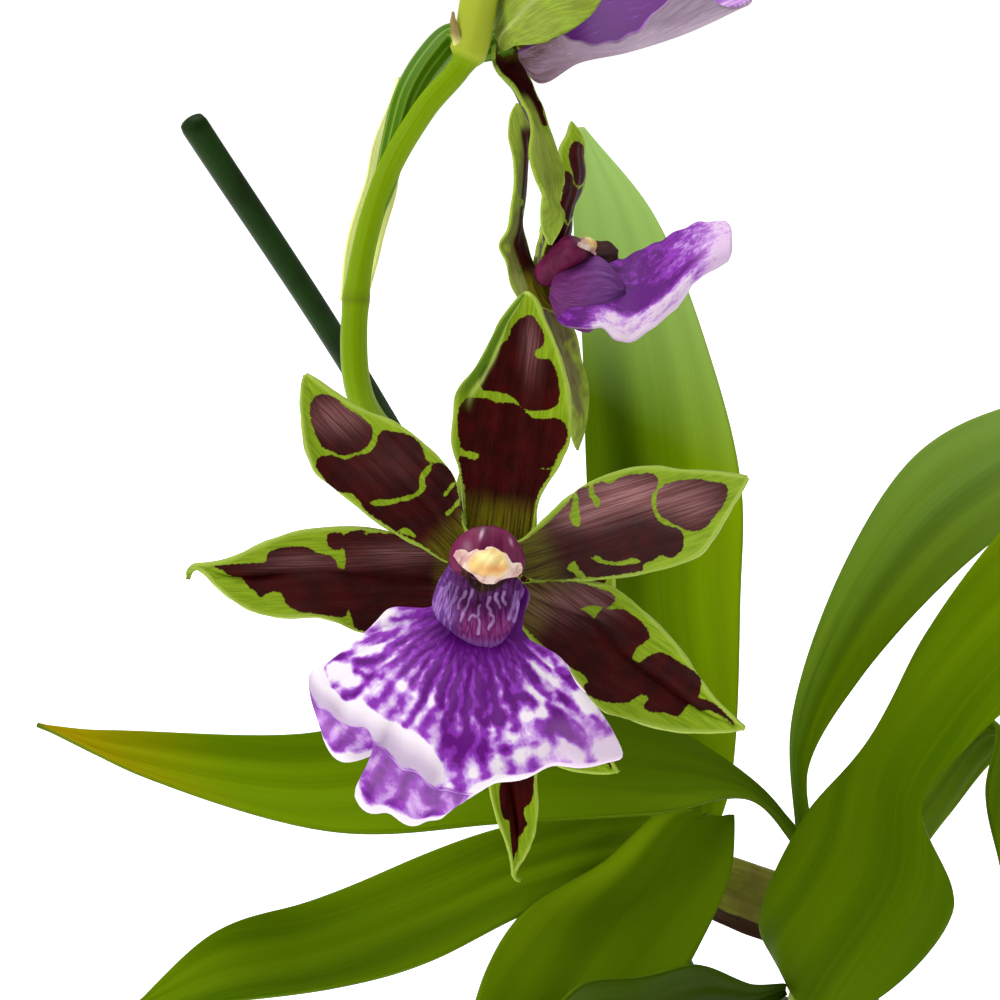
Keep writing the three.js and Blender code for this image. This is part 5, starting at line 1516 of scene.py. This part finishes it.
class BuildGrowths(bpy.types.Operator):
    """Grow the rhizome, roots, pseudobulbs and the new shoot"""

    bl_idname = "orchid.growths"
    bl_label = "Rhizome, bulbs and shoot"

    def execute(self, context):
        def ringed(angle, t):
            return (1 + 0.05 * np.cos(26 * t * np.pi)) * round_ends(t, 0.06)
        stem = tube_place(RHIZOME, [4, 4.5, 5, 3.5], ringed)
        rolled_piece("rhizome", (24, 40), stem, "root", ["rhizome_and_roots"])
        for number, route in enumerate(ROOTS, 1):
            piece = tube_piece(f"root_{number}", route, [1.8, 1.9, 1.9, 1.7], "root", (), 16, 40)
            mark_stem(piece, 60)

        def ridged(count, depth):
            return lambda angle, t: 1 - depth * np.abs(np.cos(count * angle / 2)) ** 6
        bulbs = {
            "pseudobulb_old": (OLD_BULB, [4.5, 7.6, 9, 9, 8.6, 6.8, 1.8], "bulb", "pseudobulb", 9, 0.06),
            "pseudobulb_tall": (TALL_BULB, [5, 9.5, 11.5, 10, 6, 2.6, 2.2], "bulb", "pseudobulb", 10,
            0.05),
            "new_shoot": (NEW_SHOOT, [4.5, 6, 5.5, 3.6, 2.4], "shoot", "shoot", 6, 0.03),
        }
        for node, (path, radii, look, slot, count, depth) in bulbs.items():
            piece = tube_piece(
                f"{node}_skin", path, radii, look, [node], 72, 72, ridged(count, depth), 0.04
            )
            mark_stem(piece, 60, pale=lambda s, t: 0.5 * smoothstep(t, 0.7, 1))
            x, _, z = np.array([vertex.co for vertex in piece.data.vertices]).T / MM
            route = np.array(path[::-1], float).T
            below = np.interp(x, route[0], route[2]) - z if node == "pseudobulb_old" else -60
            husk = 1 - smoothstep(read_mark(piece, "t"), 0.25, 0.6)
            write_marks(piece, husk=np.maximum(husk, smoothstep(below, -2, 4)))
        return {"FINISHED"}


class BuildStake(bpy.types.Operator):
    """Stand the painted stake in the bark"""

    bl_idname = "orchid.stake"
    bl_label = "Stake"

    def execute(self, context):
        radius = sizes().stake_radius / MM

        def ends(angle, t):
            """Flat ends with a small rounded edge."""
            near = np.minimum(t, 1 - t)
            return np.where(near < 0.0005, 0, np.where(near < 0.004, 0.9, 1.0))
        rod = tube_place(STAKE, [radius, radius], ends)
        piece = rolled_piece("stake_rod", (32, 400), rod, "stake", ["stake"])
        mark_stem(piece, 380, turns=2.4)
        return {"FINISHED"}


class BuildSpike(bpy.types.Operator):
    """Grow the flower spike and its bract"""

    bl_idname = "orchid.spike"
    bl_label = "Flower spike"

    def execute(self, context):
        def joints(angle, t):
            swell = sum(0.1 * bell(t, at, 0.004) for at in SPIKE_NODES)
            return 1 + swell + 0.015 * np.cos(7 * angle)
        piece = tube_piece(
            "spike_stem", SPIKE, SPIKE_RADII, "spike", ["flower_spike"], 40, 420, joints, 0.003
        )
        mark_stem(
            piece, 420, pale=lambda s, t: 0.85 * smoothstep(t, SHEATH_FOOT - 0.002, SHEATH_FOOT),
            scar=lambda s, t: sum(0.5 * bell(t, at, 0.0015) for at in SPIKE_NODES),
        )
        scales = (("bract_blade", BRACT, 0, ["bract"]), ("sheath_tip", SHEATH_TIP, 1, ()))
        for name, form, scar, nodes in scales:
            place = blade_place(form)
            scale = sheet_piece(name, (16, 60), place, BRACT_THICKNESS, "bract", nodes)
            mark_leaf(scale, form)
            t = read_mark(scale, "t")
            write_marks(scale, pale=0.6 * smoothstep(t, 0.5, 0.9), scar=scar * smoothstep(t, 0.1, 0.5))
        return {"FINISHED"}


class BuildLeaves(bpy.types.Operator):
    """Grow the eight strap leaves"""

    bl_idname = "orchid.leaves"
    bl_label = "Leaves"

    def execute(self, context):
        for node, form in LEAVES.items():
            bm = grid_mesh(36, 110, blade_place(form))
            bm.normal_update()
            faces_down = sum(face.normal.z * face.calc_area() for face in bm.faces) < 0
            thicken(bm, sizes().leaf_thickness / MM, turned=faces_down)
            mark_leaf(finish_piece(f"{node}_blade", bm, look_for("leaf"), [node]), form)
        return {"FINISHED"}


class BuildTepals(bpy.types.Operator):
    """Grow the blotched sepals and petals of every bloom"""

    bl_idname = "orchid.tepals"
    bl_label = "Sepals and petals"

    def execute(self, context):
        for bloom, flower in FLOWERS.items():
            fineness, share = ((56, 130), 1) if bloom == "main" else ((32, 80), 0.9)
            thickness = sizes().tepal_thickness / MM * share
            for part, form in TEPALS.items():
                node = f"{bloom}_{part}"
                if node in HANGING:
                    place = blade_place({**HANGING[node], "wave": 0.3})
                else:
                    place = tepal_place(form, flower["own"].get(part, {}), flower)
                turned = node in ("top_petal_left", "top_lateral_sepal_left")
                blade = sheet_piece(
                    f"{node}_blade", fineness, place, thickness, "tepal", [node], turned
                )
                mark_tepal(blade, form)
                self.twist(blade, node)
        return {"FINISHED"}

    def twist(self, blade, node):
        """Shows the pale back of a tepal where it has turned over."""
        s, t, back = (read_mark(blade, name) for name in ("s", "t", "back"))
        if node == "top_lateral_sepal_left":
            edge = smoothstep(s, 0.5, 0.7) * (1 - smoothstep(t, 0.44, 0.5))
            over = smoothstep(t, 0.27, 0.34) * (1 - edge)
        elif node == "side_dorsal_sepal":
            over = np.maximum(smoothstep(-s, 0.1, 0.35), smoothstep(t, 0.8, 0.86))
        else:
            return
        shown = np.abs(over - back).astype(np.float32)
        blade.data.attributes["back"].data.foreach_set("value", shown)


class BuildLips(bpy.types.Operator):
    """Shape the ruffled lip of every bloom and the ribbed callus on it"""

    bl_idname = "orchid.lips"
    bl_label = "Lips"

    def execute(self, context):
        for bloom, flower in FLOWERS.items():
            lip_grid, callus_grid = LIP_GRIDS["near" if bloom == "main" else "far"]
            own = OWN_LIPS.get(f"{bloom}_lip")
            lip = sheet_piece(
                f"{bloom}_lip_blade", lip_grid, own_lip_place(own) if own else lip_place(flower),
                sizes().lip_thickness / MM, "lip", [f"{bloom}_lip"], turned=True,
            )
            if own:
                mark_own_lip(lip, bloom)
                continue
            mark_lip(lip)
            mark_callus(sheet_piece(
                f"{bloom}_callus", callus_grid, callus_place(flower), CALLUS_THICKNESS, "callus",
                turned=True,
            ))
        for name, form in SIDE_CALLUS.items():
            place = blade_place({**form, "wave": 0.2})
            callus = sheet_piece(name, (32, 32), place, FLANGE_THICKNESS, "callus", turned=True)
            s, t = read_mark(callus, "s"), read_mark(callus, "t")
            # The flange is painted wholly in the slit's painted shade.
            write_marks(
                callus, line=1, streak=1, flange=0.6 * smoothstep(t, 0.3, 0.9), floor=0.5 * (1 - t),
                slit=form["in_shade"], across=s, out=t, grain=0,
            )
        return {"FINISHED"}


class BuildColumns(bpy.types.Operator):
    """Shape the plum column and cream anther cap of every bloom"""

    bl_idname = "orchid.columns"
    bl_label = "Columns"

    def execute(self, context):
        for bloom, flower in FLOWERS.items():
            size = flower.get("column_size", flower["size"])

            def hood(angle, t):
                """A column that is hollow below, where its anther and its callus meet."""
                below = np.cos(angle - 1.86)
                left_low = np.cos(angle - 1.2)
                hollow = 0.42 * smoothstep(below, 0.1, 0.75) + 0.1 * smoothstep(left_low, 0.3, 0.9)
                return round_ends(t, 0.24) * (1 - hollow * smoothstep(t, 0.35, 0.7))
            tube = tube_place(COLUMN * size, [size * r for r in COLUMN_RADII], hood)
            fineness = (110, 90) if bloom == "main" else (40, 50)
            shift = np.array(flower.get("column_shift", (0, 0, 0)))

            def place(s, t):
                return to_plant(flower, tube(s, t) @ self.lean(flower).T + shift)
            node = f"{bloom}_column"
            column = rolled_piece(f"{node}_hood", fineness, place, "column", [node])
            turned = np.array([vertex.co for vertex in column.data.vertices]) / MM
            straight = (turned - np.array(flower["centre"])) @ flower_axes(flower) - shift
            x, y, z = (straight @ self.lean(flower) / size).T
            # Painted shade: the dark hatching in the hollow under the anther's foot.
            under = smoothstep(np.interp(x, *ANTHER_FOOT) - y, -0.6, 0.1) * smoothstep(x, -4.4, -3.6)
            # Painted highlights: two narrow glints and a soft one on the hood, written as its pale mark.
            glints = (
                0.9 * soft_spot(x - 0.25 * (y - 3.7), y, -1.35, 3.7, 0.2, 0.6)
                + 0.6 * soft_spot(x + 0.25 * (y - 2.7), y, 2.4, 2.7, 0.16, 0.5)
                + 0.2 * soft_spot(x, y, -3.2, 2, 0.6, 0.9)
            )
            write_marks(
                column, under=under * smoothstep(z, 6, 9), pale=glints * smoothstep(z, 9, 11),
                across=x / 6, out=z, grain=0,
            )
            self.add_anther(bloom, flower, shift)
        return {"FINISHED"}

    def lean(self, flower):
        """The turn that raises a column above its bloom's axis."""
        return turn_x(-flower.get("column_tilt", 0))

    def add_anther(self, bloom, flower, shift):
        """A winged shield with a wavy rim, a puffed middle and a pointed foot at the column's end."""
        size = flower.get("column_size", flower["size"])

        def spots(s, t):
            left, right = ANTHER_TOP[0][0], ANTHER_TOP[0][-1]
            x = left + (right - left) * t
            top, foot = np.interp(x, *ANTHER_TOP), np.interp(x, *ANTHER_FOOT)
            y = (top + foot) / 2 + (top - foot) / 2 * np.cos(np.pi * s)
            wobble = 0.07 * np.sin(3 * np.arctan2(y, x) + 1) + 0.05 * np.sin(7 * np.arctan2(y, x))
            reach = np.hypot((x + 0.35) / 2.6, (y + 0.02) / 1.85) + wobble
            return x, y, (top - foot) / 2, reach

        def place(s, t):
            x, y, half, reach = spots(s, t)
            front = np.sin(np.pi * s)
            puff = 1.3 * np.sqrt(np.clip(1.08 - reach**2, 0, 1))
            folds = 0.16 * np.cos(2.6 * x + 1.2) + 0.1 * np.cos(4 * x - 3 * y)
            z = front * 0.3 * smoothstep(half, 0, 0.4)
            z = z + np.where(front > 0, puff + folds * (reach < 1.4), 0) * smoothstep(front, 0, 0.5)
            bend = 14.1 - 0.055 * (x + 0.65) ** 2 - 0.03 * (y + 0.6) ** 2
            local = size * np.stack([x, y, z + bend], axis=1)
            return to_plant(flower, local @ self.lean(flower).T + shift)

        node = f"{bloom}_anther_cap"
        anther = rolled_piece(f"{node}_shield", (64, 80), place, "anther", [node])
        x, y, _, reach = spots(read_mark(anther, "s"), read_mark(anther, "t"))
        # The light mark is a painted highlight on the upper left of the dome.
        write_marks(
            anther, rim=smoothstep(reach, 0.82, 1.12), warm=0.9 * soft_spot(x, y, 0.2, -0.8, 1.7, 0.6),
            light=soft_spot(x, y, -0.6, 0.7, 1.1, 0.7),
        )


class BuildPedicels(bpy.types.Operator):
    """Grow the ribbed stalk of every bloom"""

    bl_idname = "orchid.pedicels"
    bl_label = "Flower stalks"

    def execute(self, context):
        for bloom, flower in FLOWERS.items():
            back = flower_axes(flower) @ np.array([0, 0, -1])
            centre = np.array(flower["centre"], float)
            start = flower.get("stalk_start", 0.2)
            route = [centre + back * start, centre + back * flower["neck"], *flower["stalk"]]
            radii = [r * flower.get("stalk_size", flower["size"]) for r in (1.7, 2.1, 2.1, 1.9, 1.7, 1.5)]
            piece = tube_piece(
                f"{bloom}_stalk", route, radii, "pedicel", [f"{bloom}_pedicel"], 48, 90,
                lambda angle, t: 1 + 0.09 * np.cos(6 * angle) * (1 - 0.6 * t), 0.01,
            )
            mark_stem(piece, 40, pale=lambda s, t: 0.45 * smoothstep(np.cos(12 * np.pi * s), 0.84, 1))
        return {"FINISHED"}


class BuildStage(bpy.types.Operator):
    """Set the pale floor, the soft studio lights and the camera"""

    bl_idname = "orchid.stage"
    bl_label = "Floor, lights and camera"

    def execute(self, context):
        scene = context.scene
        bm = bmesh.new()
        bmesh.ops.create_grid(bm, x_segments=1, y_segments=1, size=FLOOR_SIZE)
        mesh = bpy.data.meshes.new("floor")
        bm.to_mesh(mesh)
        bm.free()
        floor = bpy.data.objects.new("floor", mesh)
        scene.collection.objects.link(floor)
        mesh.materials.append(Look("floor", 0.9).wear(
            Base_Color=FLOOR_WHITE, Emission_Color=FLOOR_WHITE, Emission_Strength=FLOOR_GLOW
        ))

        world = bpy.data.worlds.new("studio")
        world.use_nodes = True
        background = world.node_tree.nodes["Background"]
        background.inputs[0].default_value = (1, 1, 1, 1)
        background.inputs[1].default_value = STUDIO_LIGHT
        scene.world = world
        for name, (spot, aim, width, power) in LAMPS.items():
            lamp = bpy.data.lights.new(name, "AREA")
            lamp.size, lamp.energy = width, power
            holder = bpy.data.objects.new(name, lamp)
            holder.location = spot
            holder.rotation_euler = (Vector(aim) - Vector(spot)).to_track_quat("-Z", "Y").to_euler()
            scene.collection.objects.link(holder)

        camera = bpy.data.cameras.new("camera")
        camera.sensor_width, camera.lens = CAMERA_SENSOR, CAMERA_LENS
        holder = bpy.data.objects.new("camera", camera)
        holder.location = CAMERA_SPOT
        holder.rotation_euler = (math.radians(CAMERA_TILT), 0, 0)
        scene.collection.objects.link(holder)
        scene.camera = holder
        scene.view_settings.view_transform = "Standard"
        return {"FINISHED"}


OPERATORS = (
    BuildPot, BuildBark, BuildGrowths, BuildStake, BuildSpike, BuildLeaves, BuildTepals, BuildLips,
    BuildColumns, BuildPedicels, BuildStage,
)


class OrchidPanel(bpy.types.Panel):
    bl_label = "Potted zygopetalum"
    bl_idname = "VIEW3D_PT_orchid"
    bl_space_type = "VIEW_3D"
    bl_region_type = "UI"
    bl_category = "Orchid"

    def draw(self, context):
        for group in (context.scene.orchid_sizes, context.scene.orchid_colours):
            box = self.layout.box()
            for key in group.__annotations__:
                box.prop(group, key)
        for operator in OPERATORS:
            self.layout.operator(operator.bl_idname)


def register():
    for cls in (OrchidSizes, OrchidColours, *OPERATORS, OrchidPanel):
        bpy.utils.register_class(cls)
    bpy.types.Scene.orchid_sizes = PointerProperty(type=OrchidSizes)
    bpy.types.Scene.orchid_colours = PointerProperty(type=OrchidColours)


def unregister():
    del bpy.types.Scene.orchid_colours
    del bpy.types.Scene.orchid_sizes
    for cls in reversed((OrchidSizes, OrchidColours, *OPERATORS, OrchidPanel)):
        bpy.utils.unregister_class(cls)


def main():
    register()
    for operator in OPERATORS:
        getattr(bpy.ops.orchid, operator.bl_idname.split(".")[1])()
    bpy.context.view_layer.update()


if __name__ == "__main__":
    main()
